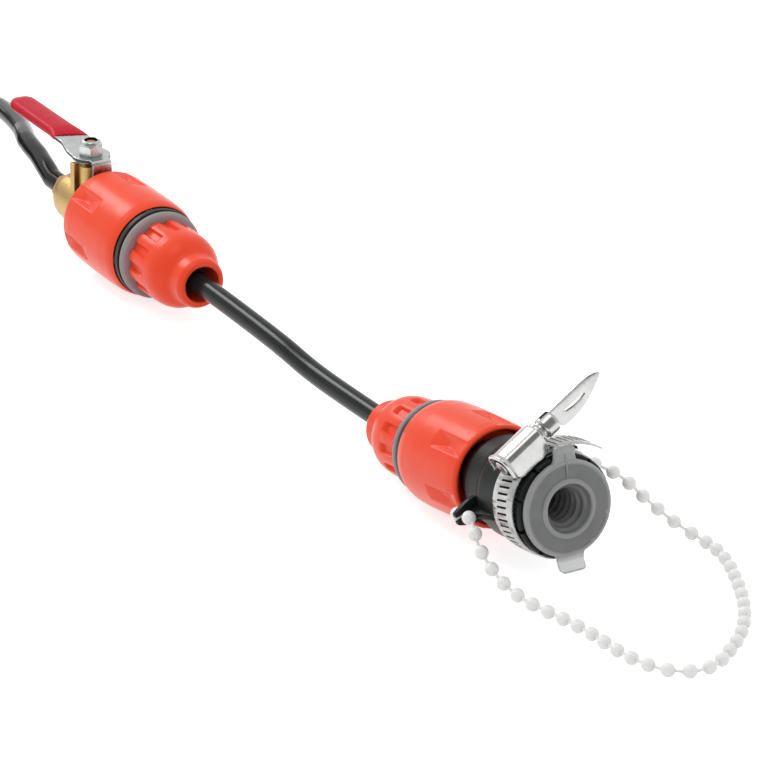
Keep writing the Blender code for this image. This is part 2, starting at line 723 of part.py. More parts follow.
def make_screw():
    end = HOUSING_LENGTH / 2
    collar = end + GAP
    neck = collar + SCREW_COLLAR_T
    top = neck + SCREW_HEAD_LENGTH
    profile = [(0, top), (SCREW_HEAD_R - 0.4 * MM, top), (SCREW_HEAD_R, top - 0.4 * MM), (SCREW_HEAD_R, neck)]
    profile += [(SCREW_COLLAR_R, neck), (SCREW_COLLAR_R, collar), (SCREW_R, collar)]
    threads = 4
    pitch = (HOUSING_LENGTH - 1.0 * MM) / threads
    for i in range(threads):
        z = collar - i * pitch
        profile += [(SCREW_R, z - 0.3 * pitch), (SCREW_R - 0.7 * MM, z - 0.5 * pitch)]
        profile += [(SCREW_R - 0.7 * MM, z - 0.8 * pitch), (SCREW_R, z - pitch)]
    profile += [(0, collar - threads * pitch)]
    screw = turned("clamp_screw", profile, SCREW, STEEL, 12)
    slot = (WING_T + 2 * GAP, 4 * SCREW_HEAD_R, SCREW_HEAD_LENGTH - 1.0 * MM)
    place = Matrix.Translation((0, 0, top - slot[2] / 2 + 0.5 * MM))
    cut(screw, boxes("wing_slot", [(slot, place)], SCREW))
    return top - slot[2] + 0.5 * MM + GAP


def make_wing(base):
    """A pressed leaf with one straight edge, standing in the screw's slot."""
    low = 1.0 * MM - SCREW_HEAD_R
    tip = base + WING_LENGTH
    loop = [(low, base), (low, tip - 6.0 * MM), (low + 1.2 * MM, tip - 1.0 * MM), (low + 2.2 * MM, tip)]
    for i in range(1, 9):
        share = i / 9
        z = tip - share * (tip - base - SCREW_HEAD_LENGTH + 1.0 * MM)
        bulge = math.sin(math.pi * (share * 0.62 + 0.02))
        loop.append((low + 2.2 * MM + (WING_WIDTH - 2.2 * MM) * bulge, z))
    foot = SCREW_HEAD_R - 1.0 * MM
    loop += [(foot, base + SCREW_HEAD_LENGTH - 2.0 * MM), (foot, base)]
    slot = [
        (low + 3.0 * MM, base + 9.0 * MM),
        (low + 3.9 * MM, base + 9.0 * MM),
        (low + 3.9 * MM, base + 18.0 * MM),
        (low + 3.0 * MM, base + 18.0 * MM),
    ]
    loop, slot = ([(-x, z) for x, z in places] for places in (loop, slot))
    across = Matrix.Rotation(math.pi / 2, 4, "Y") @ Matrix.Rotation(math.pi / 2, 4, "Z")
    outline("clamp_wing", [loop, slot], WING_T / 2, across, SCREW, STEEL)


# Ball valve
VALVE_TOP = empty("lever_axis", (0, 0, BALL_Z), (-math.pi / 2, 0, 0), VALVE_SIDE)


def make_valve_nipple():
    back = CORE_MOUTH_Z + 2 * GAP
    profile = [
        (11.0 * MM, back + 5.0 * MM),
        (11.0 * MM, back),
        *nipple_profile(),
        (WATER_R, NIPPLE_TIP_Z),
        (WATER_R, back + 2.0 * MM),
        (6.6 * MM, back + 2.0 * MM),
        (6.6 * MM, back + 5.0 * MM),
    ]
    turned("valve_nipple", profile, VALVE_SIDE, BLACK, 16)


def make_valve_body():
    start = CORE_MOUTH_Z + 2 * GAP + 5.0 * MM + GAP
    end = VALVE_END_Z
    profile = [
        (VALVE_R - 1.9 * MM, end),
        (VALVE_R - 1.2 * MM, end - 1.0 * MM),
        (VALVE_R - 0.4 * MM, end - 3.5 * MM),
        (VALVE_R, end - 7.0 * MM),
    ]
    for i in range(5):
        angle = math.pi * (0.45 + 0.37 * i / 4)
        profile.append((VALVE_R * math.sin(angle), BALL_Z + VALVE_R * 0.9 * math.cos(angle)))
    profile += [
        (6.3 * MM, start),
        (6.3 * MM, start - 2.4 * MM),
        (WATER_R, start - 2.4 * MM),
        (WATER_R, BALL_Z - SEAT_OUTER - GAP),
        (CHAMBER_R, BALL_Z - SEAT_OUTER - GAP),
        (CHAMBER_R, end),
    ]
    body = turned("valve_body", profile, VALVE_SIDE, BRASS, 20)
    up = Matrix.Identity(4)
    rise = (BOSS_TOP + 8.5 * MM) / 2
    boss = rod("stem_boss", BOSS_R, BOSS_TOP - 8.5 * MM, up @ Matrix.Translation((0, 0, rise)), VALVE_TOP)
    cut(body, boss, "UNION")
    reach, thick, low, high = STOP_LUG
    place = Matrix.Translation((BOSS_R + reach / 2 - 0.6 * MM, -0.45 * MM, (low + high) / 2))
    cut(body, boxes("stop_lug", [((reach + 1.2 * MM, thick, high - low), place)], VALVE_TOP), "UNION")
    place = Matrix.Translation((0, 0, BOSS_TOP + 6.0 * MM))
    cut(body, rod("packing_nut_room", BOSS_R - 0.3 * MM, 12.0 * MM, place, VALVE_TOP))
    place = Matrix.Translation((0, 0, PACKING_FLOOR + 6.0 * MM))
    cut(body, rod("packing_pocket", PACKING_R + GAP, 12.0 * MM, place, VALVE_TOP))
    cut(body, rod("stem_bore", STEM_R + SLIP, 20.0 * MM, Matrix.Translation((0, 0, 10.0 * MM)), VALVE_TOP))


def make_valve_tail():
    joint = VALVE_END_Z + GAP
    hexagon_end = joint + TAIL_HEX_LENGTH
    tip = hexagon_end + BARB_LENGTH
    profile = [
        (SPIGOT_BORE_R, tip),
        (SPIGOT_R, tip),
        (SPIGOT_R, hexagon_end + 1.5 * MM),
        (5.0 * MM, hexagon_end + 1.5 * MM),
        (5.0 * MM, joint),
        (CHAMBER_R - SLIP, joint),
        (CHAMBER_R - SLIP, BALL_Z + SEAT_OUTER + GAP),
        (WATER_R, BALL_Z + SEAT_OUTER + GAP),
        (WATER_R, hexagon_end),
        (SPIGOT_BORE_R, hexagon_end + 2.0 * MM),
    ]
    tail = turned("valve_tail", profile, VALVE_SIDE, BRASS, 18)
    place = Matrix.Translation((0, 0, (joint + hexagon_end) / 2))
    hexagon = rod("tail_hexagon", TAIL_HEX_R, TAIL_HEX_LENGTH, place, VALVE_SIDE, sides=6)
    bore = rod("tail_hexagon_bore", 4.6 * MM, 2 * TAIL_HEX_LENGTH, place, VALVE_SIDE, sides=24)
    cut(hexagon, bore)
    cut(tail, hexagon, "UNION")
    return hexagon_end + 1.5 * MM + GAP


def make_ball():
    def build(bm):
        bmesh.ops.create_uvsphere(bm, u_segments=16, v_segments=10, radius=BALL_R)

    ball = add("valve_ball", solid_mesh("valve_ball", build), VALVE_TOP, STEEL)
    along = Matrix.Rotation(math.pi / 2, 4, "X")
    cut(ball, rod("ball_bore", WATER_R, 4 * BALL_R, along, VALVE_TOP, sides=16))
    slot = (TANG_T + 2 * GAP, 3 * BALL_R, 2 * TANG_LENGTH)
    cut(ball, boxes("ball_slot", [(slot, Matrix.Translation((0, 0, BALL_R)))], VALVE_TOP))


def make_seats():
    for name, sign in (("ball_seat_inlet", 1), ("ball_seat_outlet", -1)):
        near = BALL_Z + sign * SEAT_INNER
        far = BALL_Z + sign * SEAT_OUTER
        ring = [(CHAMBER_R - GAP, near), (CHAMBER_R - GAP, far), (WATER_R, far), (WATER_R + 1.3 * MM, near)]
        turned(name, ring[::-1] if sign > 0 else ring, VALVE_SIDE, PTFE, 16)


def make_stem():
    tang = BALL_R - TANG_LENGTH + GAP
    top = LEVER_Y + LEVER_T + 5.0 * MM
    shoulder = LEVER_Y - GAP
    profile = [(0, top), (1.7 * MM, top), (1.7 * MM, shoulder), (STEM_R, shoulder), (STEM_R, tang), (0, tang)]
    stem = turned("valve_stem", profile, VALVE_TOP, BRASS, 16)
    sides = []
    for sign in (1, -1):
        place = Matrix.Translation((sign * (TANG_T / 2 + 2 * STEM_R), 0, tang))
        sides.append(((4 * STEM_R, 4 * STEM_R, 2 * (BALL_R - tang + GAP)), place))
    cut(stem, boxes("tang_flats", sides, VALVE_TOP))


def make_packing():
    inner = STEM_R + SLIP
    floor = PACKING_FLOOR + GAP
    ring = [(PACKING_R, floor + 2.6 * MM), (PACKING_R, floor), (inner, floor), (inner, floor + 2.6 * MM)]
    turned("stem_packing", ring, VALVE_TOP, PTFE, 14)
    base = floor + 2.6 * MM + GAP
    rim = BOSS_TOP + GAP
    nut = [
        (BOSS_R - 0.6 * MM, rim + 2.2 * MM),
        (BOSS_R - 0.6 * MM, rim),
        (PACKING_R, rim),
        (PACKING_R, base),
        (inner, base),
        (inner, rim + 2.2 * MM),
    ]
    turned("packing_nut", nut, VALVE_TOP, BRASS, 14)


def make_lever():
    """A head round the stem, a stop bent down from it, and a cranked arm."""
    arm = LEVER_ARM_WIDTH / 2
    low = LEVER_Y
    high = LEVER_Y + LEVER_T
    foot = LEVER_HEAD_R - 1.5 * MM
    knee = LEVER_HEAD_R + 7.0 * MM
    end = LEVER_LENGTH - 3.0 * MM
    side = [(-foot, low), (-knee, low + LEVER_RISE), (-end, low + LEVER_RISE)]
    side += [(-end, high + LEVER_RISE), (-knee, high + LEVER_RISE), (-foot, high)]
    upright = Matrix.Rotation(math.pi / 2, 4, "Z") @ Matrix.Rotation(math.pi / 2, 4, "X")
    root = LEVER_ROOT_WIDTH / 2
    plate = outline("lever_plate", [side], root, upright, VALVE_TOP, ZINC)
    middle = Matrix.Translation((0, 0, LEVER_Y + LEVER_T / 2))
    head = rod("lever_head", LEVER_HEAD_R, LEVER_T, middle, VALVE_TOP, sides=24)
    drop = LEVER_STOP_DROP + LEVER_T
    front = Matrix.Translation((0, LEVER_HEAD_R + 0.6 * MM, high - drop / 2))
    ledge = Matrix.Translation((0, LEVER_HEAD_R - 1.2 * MM, LEVER_Y + LEVER_T / 2))
    cut(plate, head, "UNION")
    trims = []
    for sign, reach in ((1, GRIP_START - GAP), (-1, GRIP_START - 5.5 * MM - GAP)):
        size = (root, LEVER_LENGTH, 4 * (LEVER_T + LEVER_RISE))
        spot = (sign * (arm + root / 2), -(reach + LEVER_LENGTH / 2), LEVER_Y)
        trims.append((size, Matrix.Translation(spot)))
    cut(plate, boxes("lever_waist", trims, VALVE_TOP))
    cut(plate, boxes("lever_ledge", [((8.4 * MM, 4.4 * MM, LEVER_T), ledge)], VALVE_TOP), "UNION")
    cut(plate, boxes("lever_stop", [((8.4 * MM, LEVER_T, drop), front)], VALVE_TOP), "UNION")
    cut(plate, rod("lever_hole", 1.9 * MM, 3 * LEVER_T, middle, VALVE_TOP, sides=12))


def make_grip():
    """A dipped sleeve: flat, with a round end and a flared root, open for the arm."""
    half = GRIP_WIDTH / 2
    end = LEVER_LENGTH
    flare = half + 0.8 * MM
    loop = [(-flare, GRIP_START), (LEVER_ARM_WIDTH / 2, GRIP_START), (flare, GRIP_START - 5.5 * MM)]
    loop += [(half, GRIP_START + 8.0 * MM), (half - 0.4 * MM, end - 8.0 * MM)]
    loop += [(x, end - 5.0 * MM + y) for x, y in arc(half - 1.0 * MM, 0.2, math.pi - 0.2, 9)]
    loop += [(-half + 0.4 * MM, end - 8.0 * MM), (-half, GRIP_START + 8.0 * MM)]
    place = Matrix.Translation((0, 0, LEVER_Y + LEVER_RISE + LEVER_T / 2)) @ Matrix.Rotation(math.pi, 4, "Z")
    grip = outline("lever_grip", [loop], GRIP_T / 2, place, VALVE_TOP, RED)
    bevel = grip.modifiers.new("Round", "BEVEL")
    bevel.width = 1.4 * MM
    bevel.segments = 2
    bevel.limit_method = "ANGLE"
    bevel.angle_limit = math.radians(50)
    inside = LEVER_LENGTH - 3.0 * MM + GAP - GRIP_START + 8.0 * MM
    size = (LEVER_ARM_WIDTH + 2 * GAP, inside, LEVER_T + 2 * GAP)
    pocket = place @ Matrix.Translation((0, GRIP_START - 8.0 * MM + inside / 2, 0))
    cut(grip, boxes("grip_pocket", [(size, pocket)], VALVE_TOP))


def make_lever_nut():
    base = LEVER_Y + LEVER_T + GAP
    height = 4.2 * MM
    across = Matrix.Translation((0, 0, base + height / 2))
    nut = rod("lever_nut", LEVER_NUT_R, height, across, VALVE_TOP, ZINC, 6, MODEL)
    top = Matrix.Translation((0, 0, base + height + 0.9 * MM))
    dome = rod("nut_dome", LEVER_NUT_R - 0.6 * MM, 2.0 * MM, top, VALVE_TOP, sides=16, tip=1.6 * MM)
    cut(nut, dome, "UNION")
    blind = Matrix.Translation((0, 0, base - 1.1 * MM))
    cut(nut, rod("nut_hole", 1.7 * MM + SLIP, 12.0 * MM, blind, VALVE_TOP, sides=12))


# Hoses and chain
def hose_bore(name, hose, frame, z, depth):
    """Opens the end of a hose for the spigot that it is pushed over."""
    place = Matrix.Translation((0, 0, z))
    cutter = rod(name, HOSE_BORE_R, 2 * depth, place, frame, sides=16)
    cut(hose, cutter)


def make_short_hose():
    end_z = CORE_END_Z - GAP
    route = [
        in_kit(VALVE_SIDE, (0, 0, end_z)),
        in_kit(VALVE_SIDE, (0, 0, SPIGOT_TIP_Z - 2.0 * MM)),
        Vector((-148.0, 1.3, 18.0)) * MM,
        Vector((-114.0, 0.8, 16.8)) * MM,
        Vector((-82.0, 0.6, 14.6)) * MM,
        in_kit(TAP_SIDE, (0, 0, SPIGOT_TIP_Z - 2.0 * MM)),
        in_kit(TAP_SIDE, (0, 0, end_z)),
    ]
    places = smooth_route(route, 12.0 * MM)
    guide = tube("short_hose_line", places, HOSE_R, KIT, HOSE_BLACK, 4)
    hose = as_mesh(guide, "short_hose", KIT, HOSE_BLACK)
    depth = SPIGOT_LENGTH + GAP
    hose_bore("short_hose_bore_valve", hose, VALVE_SIDE, end_z, depth)
    hose_bore("short_hose_bore_tap", hose, TAP_SIDE, end_z, depth)
    print(f"short hose {length_of(places) * 1000:.1f} mm")


COIL_LOW = TIE_T + GAP + HOSE_R
COIL_HALF_BAND = COIL_LAYER_TURNS * COIL_PITCH / 2


def coil_point(turns):
    """A point of the coil: in, climb, out, climb, in again, and so on."""
    lap = COIL_LAYER_TURNS + 0.5
    layer = int(turns // lap)
    within = turns - layer * lap
    inward = layer % 2 == 0
    edge = -COIL_HALF_BAND if inward else COIL_HALF_BAND
    direction = -1 if inward else 1
    level = float(layer)
    if within <= COIL_LAYER_TURNS:
        offset = -edge + direction * COIL_PITCH * within
    else:
        climb = within - COIL_LAYER_TURNS
        offset = edge + direction * COIL_PITCH * (climb - 2 * climb**2)
        share = climb / 0.5
        level += share * share * (3 - 2 * share)
    radius = COIL_MEAN_R + offset
    angle = COIL_START + 2 * math.pi * turns
    return Vector((
        COIL_CENTRE[0] + radius * math.cos(angle),
        COIL_CENTRE[1] + radius * math.sin(angle),
        COIL_LOW + COIL_PITCH * level,
    ))


def coil_places(length):
    """The coil's points: a straight lead-in, the turns, and a straight end for the nozzle."""
    places = [coil_point(0)]
    lead = (coil_point(1 / LOOP_POINTS) - coil_point(0)).normalized()
    lead.z = 0
    places.insert(0, places[0] - lead * 2 * HOSE_R)
    step = 0
    while length_of(places) < length - 2 * HOSE_R:
        step += 1
        places.append(coil_point(step / LOOP_POINTS))
    heading = (places[-1] - places[-2]).normalized()
    places.append(places[-1] + heading * 2 * HOSE_R)
    return places, lead, heading


def least_gap(places, radius):
    """Least gap of a tube to itself, between points more than half a turn apart."""
    least = 1.0
    for i, here in enumerate(places):
        for there in places[i + LOOP_POINTS // 2 :]:
            least = min(least, (here - there).length - 2 * radius)
    return least


def make_long_hose(start_z):
    lead = (coil_point(1 / LOOP_POINTS) - coil_point(0)).normalized()
    lead.z = 0
    coil_end = coil_point(0) - lead * 2 * HOSE_R
    route = [
        in_kit(VALVE_SIDE, (0, 0, start_z)),
        in_kit(VALVE_SIDE, (0, 0, start_z + BARB_LENGTH)),
        Vector((-308.5, 3.4, 22.1)) * MM,
        Vector((-321.0, 6.5, 22.6)) * MM,
        Vector((-339.0, 10.4, 22.3)) * MM,
        Vector((-357.5, 17.8, 19.6)) * MM,
        Vector((-379.0, 24.4, 16.6)) * MM,
        Vector((-402.5, 30.2, 12.6)) * MM,
        Vector((-426.0, 32.2, 8.2)) * MM,
        coil_end - lead * (2 * HOSE_R + GAP),
        coil_end - lead * GAP,
    ]
    places = smooth_route(route, 18.0 * MM)
    guide = tube("long_hose_line", places, HOSE_R, KIT, HOSE_BLACK, 3)
    hose = as_mesh(guide, "long_hose", KIT, HOSE_BLACK)
    hose_bore("long_hose_bore", hose, VALVE_SIDE, start_z, BARB_LENGTH)
    free = length_of(places)
    coil, lead, heading = coil_places(HOSE_LENGTH - free)
    tube("long_hose_coil", coil, HOSE_R, KIT, HOSE_BLACK, 1)
    print(f"long hose {free * 1000:.1f} + {length_of(coil) * 1000:.1f} mm")
    print(f"coil least gap {least_gap(coil, HOSE_R) * 1000:.2f} mm, {len(coil)} points")
    return coil[-1], heading


def make_nozzle(end, heading):
    """A turned jet: a crimped collar, a waist and a rounded tip with a bore."""
    turn = heading.to_track_quat("Z", "Y").to_euler()
    frame = empty("nozzle_frame", end, turn, KIT)
    top = NOZZLE_LENGTH
    profile = [
        (1.0 * MM, top),
        (1.9 * MM, top),
        (2.8 * MM, top - 2.0 * MM),
        (3.2 * MM, top - 8.0 * MM),
        (NOZZLE_R, top - 10.0 * MM),
        (NOZZLE_R, top - 15.0 * MM),
        (3.3 * MM, top - 16.5 * MM),
        (3.3 * MM, GAP + 6.0 * MM),
        (NOZZLE_R, GAP + 5.0 * MM),
        (NOZZLE_R, GAP),
        (1.0 * MM, GAP),
    ]
    turned("jet_nozzle", profile, frame, BRASS, 14)


def make_ties():
    half = COIL_HALF_BAND + HOSE_R + COIL_PITCH / 8 + GAP
    near = -half - 0.7 * MM
    low = COIL_LOW - HOSE_R - GAP
    high = COIL_LOW + (COIL_LAYERS - 1) * COIL_PITCH + HOSE_R + GAP
    inner = [(half, low), (half, high), (near, high), (near, low)]
    outer = [
        (half + TIE_T, low - TIE_T),
        (half + TIE_T, high + TIE_T),
        (near - TIE_T, high + TIE_T),
        (near - TIE_T, low - TIE_T),
    ]
    for i, angle in enumerate(TIE_ANGLES):
        spot = Vector((*COIL_CENTRE, 0)) + COIL_MEAN_R * Vector((math.cos(angle), math.sin(angle), 0))
        stand = Matrix.Rotation(math.pi / 2, 4, "X")
        place = Matrix.Translation(spot) @ Matrix.Rotation(angle, 4, "Z") @ stand
        outline(f"hose_tie_{i + 1}", [outer, inner], TIE_WIDTH / 2, place, KIT, STRAP)


def make_chain():
    """Beads on a thread, from the near lug along the surface and up to the far one."""
    near = [lug_matrix(-1) @ Vector((LUG_LINK_R, 0, dz)) for dz in (-6.25 * MM, 0, 6.0 * MM)]
    far = [lug_matrix(1) @ Vector((LUG_LINK_R, 0, dz)) for dz in (6.0 * MM, 0, -6.25 * MM)]
    ground = [(96, -22.5, 3.2), (107, -20, 2.5), (119, -17.6, 2.5), (131.5, -16, 2.5), (145, -15.5, 2.5)]
    ground += [(158, -13.5, 2.5), (168, -8.5, 2.5), (173, 0, 2.5), (170.5, 9.5, 2.5), (164, 18.5, 2.5)]
    ground += [(156, 27.5, 2.5), (146.5, 35.2, 2.5), (135.6, 42, 2.5), (125, 47.3, 2.5), (114, 52, 2.5)]
    ground += [(103, 56, 2.5), (92.6, 58, 2.5), (82, 57.6, 2.7)]
    route = [in_kit(TAP_SIDE, place) for place in near]
    route += [Vector((70, -24.6, 14.2)) * MM, Vector((77, -24.8, 9.6)) * MM, Vector((86, -24.2, 5.6)) * MM]
    route += [Vector(place) * MM for place in ground]
    route += [Vector((74, 53.5, 6.0)) * MM, Vector((69.5, 45.5, 14)) * MM, Vector((66.5, 35, 25)) * MM]
    route += [in_kit(TAP_SIDE, place) for place in far]
    line = smooth_route(route, 1.0 * MM)
    total = length_of(line)
    beads = round((total - 2 * BEAD_R) / BEAD_PITCH) + 1
    pitch = (total - 2 * BEAD_R) / (beads - 1)
    marks = []
    for i in range(beads):
        centre = BEAD_R + i * pitch
        for shift in (-0.96, -0.5, 0.5, 0.96):
            thickness = max(LINK_R, BEAD_R * math.sqrt(1 - shift * shift))
            marks.append((centre + shift * BEAD_R, thickness))
    places = []
    radii = []
    run = 0.0
    index = 0
    for distance, thickness in marks:
        while index < len(line) - 2 and run + (line[index + 1] - line[index]).length < distance:
            run += (line[index + 1] - line[index]).length
            index += 1
        step = line[index + 1] - line[index]
        places.append(line[index] + step * ((distance - run) / step.length))
        radii.append(thickness / BEAD_R)
    tube("safety_chain", places, BEAD_R, KIT, WHITE, 1, radii)
    print(f"bead chain {total * 1000:.1f} mm, {beads} beads {pitch * 1000:.2f} mm apart")


make_connector("tap", TAP_SIDE)
make_connector("valve", VALVE_SIDE)
make_tap_body()
make_seal("tap_nipple_seal", TAP_SIDE)
make_insert()
make_band()
make_housing()
make_wing(make_screw())
make_valve_nipple()
make_seal("valve_nipple_seal", VALVE_SIDE)
make_valve_body()
HOSE_START_Z = make_valve_tail()
make_ball()
make_seats()
make_stem()
make_packing()
make_lever()
make_grip()
make_lever_nut()
make_short_hose()
make_nozzle(*make_long_hose(HOSE_START_Z))
make_ties()
make_chain()
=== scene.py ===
# %% [markdown]
# # A flushing hose kit for a camper's waste hose
# The CAD model is loaded first, as a frame that never moves. Every piece made below takes its place
# and its size from that frame, and rides on one of its bodies, so the joints still work.

# %% Load the frame
import json
import math

import bmesh
import bpy
import numpy as np
from mathutils import Matrix, Vector


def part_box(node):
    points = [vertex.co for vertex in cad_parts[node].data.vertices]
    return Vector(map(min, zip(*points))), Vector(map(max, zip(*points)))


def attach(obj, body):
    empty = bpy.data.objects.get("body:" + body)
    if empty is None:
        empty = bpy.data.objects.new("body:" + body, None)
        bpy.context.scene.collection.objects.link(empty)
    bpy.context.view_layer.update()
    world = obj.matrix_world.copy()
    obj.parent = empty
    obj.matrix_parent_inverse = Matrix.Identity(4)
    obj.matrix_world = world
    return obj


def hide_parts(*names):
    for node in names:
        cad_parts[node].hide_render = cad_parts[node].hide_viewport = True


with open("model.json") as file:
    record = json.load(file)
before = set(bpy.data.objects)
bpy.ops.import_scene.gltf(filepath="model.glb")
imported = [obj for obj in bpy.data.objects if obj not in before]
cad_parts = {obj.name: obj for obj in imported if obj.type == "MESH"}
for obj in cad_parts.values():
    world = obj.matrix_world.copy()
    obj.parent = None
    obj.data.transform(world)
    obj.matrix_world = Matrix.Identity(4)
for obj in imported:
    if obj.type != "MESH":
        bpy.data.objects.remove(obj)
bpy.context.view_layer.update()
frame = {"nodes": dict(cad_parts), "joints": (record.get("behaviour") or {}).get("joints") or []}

MM = 0.001
JOINTS = {joint["name"]: joint for joint in frame["joints"]}

# %% [markdown]
# Each assembly is turned about one line, so it is easiest to model in a frame of its own, whose z runs
# along that line and whose y points up. The lines are the joints' axes. The stop ring of a connector
# marks z = 0, and its box gives the ring's centre.

# %% Frames of the assemblies
def centre_of(node):
    low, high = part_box(node)
    return (low + high) / 2


def frame_at(origin, along):
    """A matrix with z along the given line and y as near upwards as that allows."""
    z = Vector(along).normalized()
    y = (Vector((0, 0, 1)) - z * z.z).normalized()
    turn = Matrix((y.cross(z), y, z)).transposed().to_4x4()
    return Matrix.Translation(origin) @ turn


TAP = frame_at(centre_of("stop_ring_tap"), JOINTS["tap_swivel"]["axis"])
VALVE = frame_at(centre_of("stop_ring_valve"), JOINTS["nut_valve_turn"]["axis"])
LEVER = Matrix.Translation(JOINTS["lever_turn"]["pos_m"]) @ VALVE.to_3x3().to_4x4()
LEVER = LEVER @ Matrix.Rotation(-math.pi / 2, 4, "X")


def reach(node, place):
    """Largest radius, lowest z and highest z of a CAD piece in an assembly's frame, in metres."""
    inverse = place.inverted()
    points = [inverse @ vertex.co for vertex in frame["nodes"][node].data.vertices]
    return (
        max(math.hypot(point.x, point.y) for point in points),
        min(point.z for point in points),
        max(point.z for point in points),
    )


for side, place in (("tap", TAP), ("valve", VALVE)):
    print(side, "sleeve reaches", [round(value / MM, 2) for value in reach(f"grip_sleeve_{side}", place)])

# %% [markdown]
# ## The camera
# It comes first, because the stored part of the hose has to lie outside what it sees.

# %% Camera
scene = bpy.context.scene
lens = bpy.data.cameras.new("bench_camera")
lens.lens = 274.88
lens.sensor_width = 36.0
lens.clip_start = 0.05
lens.clip_end = 30.0
camera = bpy.data.objects.new("bench_camera", lens)
camera.location = (1.78672, -0.99007, 0.86393)
camera.rotation_euler = (math.radians(67.0), 0.0, math.radians(59.8))
scene.collection.objects.link(camera)
scene.camera = camera
print("camera", round((camera.location - centre_of("tap_body")).length, 3), "m from the tap connector")

# %% [markdown]
# ## Finishes
# Colours are picked as sRGB hex values, the way a paint chart gives them, but shaders work in linear
# light. One function converts them. A second one adds a shader node, sets what it is given and links
# the rest, which keeps each finish short enough to read.

# %% Colour and node helpers
def linear(hex_colour):
    channels = [int(hex_colour[i : i + 2], 16) / 255 for i in (0, 2, 4)]
    return (*(c / 12.92 if c <= 0.04045 else ((c + 0.055) / 1.055) ** 2.4 for c in channels), 1.0)


def add_node(tree, kind, links=None, inputs=None, **settings):
    """Adds a node. links joins its inputs to other nodes' outputs, and inputs sets their values."""
    made = tree.nodes.new(kind)
    for name, value in settings.items():
        setattr(made, name, value)
    for name, value in (inputs or {}).items():
        made.inputs[name].default_value = value
    for name, output in (links or {}).items():
        tree.links.new(output, made.inputs[name])
    return made


def start_finish(name, slot, **values):
    """A material with one Principled shader, whose constant values are set straight on its sockets."""
    made = bpy.data.materials.new(name)
    made.use_nodes = True
    shader = made.node_tree.nodes["Principled BSDF"]
    for socket, value in values.items():
        shader.inputs[socket.replace("_", " ")].default_value = value
    return made, made.node_tree


def finished(made, colour, gloss, relief):
    """Links a finish's colour, roughness and relief to its shader, and returns the finish."""
    shader = made.node_tree.nodes["Principled BSDF"]
    outputs = {"Base Color": colour, "Roughness": gloss.outputs[0], "Normal": relief.outputs[0]}
    for socket, output in outputs.items():
        made.node_tree.links.new(output, shader.inputs[socket])
    return made


# %% [markdown]
# Injection-moulded plastic copies its polished mould, so it is glossy, but never perfectly flat. Slight
# waves from cooling, about 8 mm apart, bend its reflections, and a much finer grain keeps its highlights
# soft. The colour varies a little with the flow of the plastic.

# %% Moulded plastics
def moulded(name, slot, base, light, roughness, wave_mm=8.0, grain_mm=0.35, wave=0.12, grain=0.05, **values):
    made, tree = start_finish(name, slot, **values)
    place = add_node(tree, "ShaderNodeTexCoord").outputs["Object"]
    waves = add_node(tree, "ShaderNodeTexNoise", {"Vector": place}, {"Scale": 1000 / wave_mm, "Detail": 2.0})
    grains = add_node(
        tree, "ShaderNodeTexNoise", {"Vector": place}, {"Scale": 1000 / grain_mm, "Detail": 1.0}
    )
    colour = add_node(tree, "ShaderNodeMix", {0: waves.outputs[0]}, data_type="RGBA")
    colour.inputs[6].default_value = linear(base)
    colour.inputs[7].default_value = linear(light)
    gloss = add_node(
        tree, "ShaderNodeMapRange", {"Value": grains.outputs[0]},
        {"To Min": roughness * 0.85, "To Max": roughness * 1.15}
    )
    low = add_node(
        tree, "ShaderNodeBump", {"Height": waves.outputs[0]}, {"Strength": wave, "Distance": 0.5 * MM}
    )
    fine = add_node(
        tree,
        "ShaderNodeBump",
        {"Height": grains.outputs[0], "Normal": low.outputs[0]},
        {"Strength": grain, "Distance": 0.05 * MM},
    )
    return finished(made, colour.outputs[2], gloss, fine)


ORANGE = moulded(
    "moulded_orange_abs", "orange_abs", "EE4626", "F44C2A", 0.3, wave_mm=11.0, wave=0.3,
    IOR=1.53, Specular_IOR_Level=0.2,
)
BLACK = moulded(
    "moulded_black_abs", "black_abs", "161918", "1F2221", 0.34, wave=0.1, IOR=1.53, Specular_IOR_Level=0.12
)
DARK = moulded(
    "moulded_dark_acetal", "dark_acetal", "2C302E", "363A38", 0.42, IOR=1.48, Specular_IOR_Level=0.25
)
RING_GREY = moulded(
    "matt_grey_rubber", "grey_rubber", "94898B", "A09597", 0.5, grain=0.2, IOR=1.5, Specular_IOR_Level=0.3
)
SEAL = moulded("moulded_nitrile_rubber", "nitrile_rubber", "161616", "1E1E1E", 0.6, grain=0.2, IOR=1.5)
PTFE = moulded("turned_ptfe", "ptfe", "E6E6E0", "F0F0EC", 0.5, IOR=1.38)
WHITE = moulded(
    "moulded_white_polystyrene", "white_polystyrene", "E9E9E7", "F4F4F2", 0.35, wave_mm=2.5, wave=0.2,
    IOR=1.59,
    Subsurface_Weight=0.25, Subsurface_Radius=(0.8, 0.8, 0.75), Subsurface_Scale=0.002,
)

# %% [markdown]
# The hose is soft PVC. It leaves the extruder glossy, with faint lines along its length and slow waves
# where it has been coiled. The lines follow the hose, so this finish reads a UV map: u runs round the
# hose and v along it in metres.

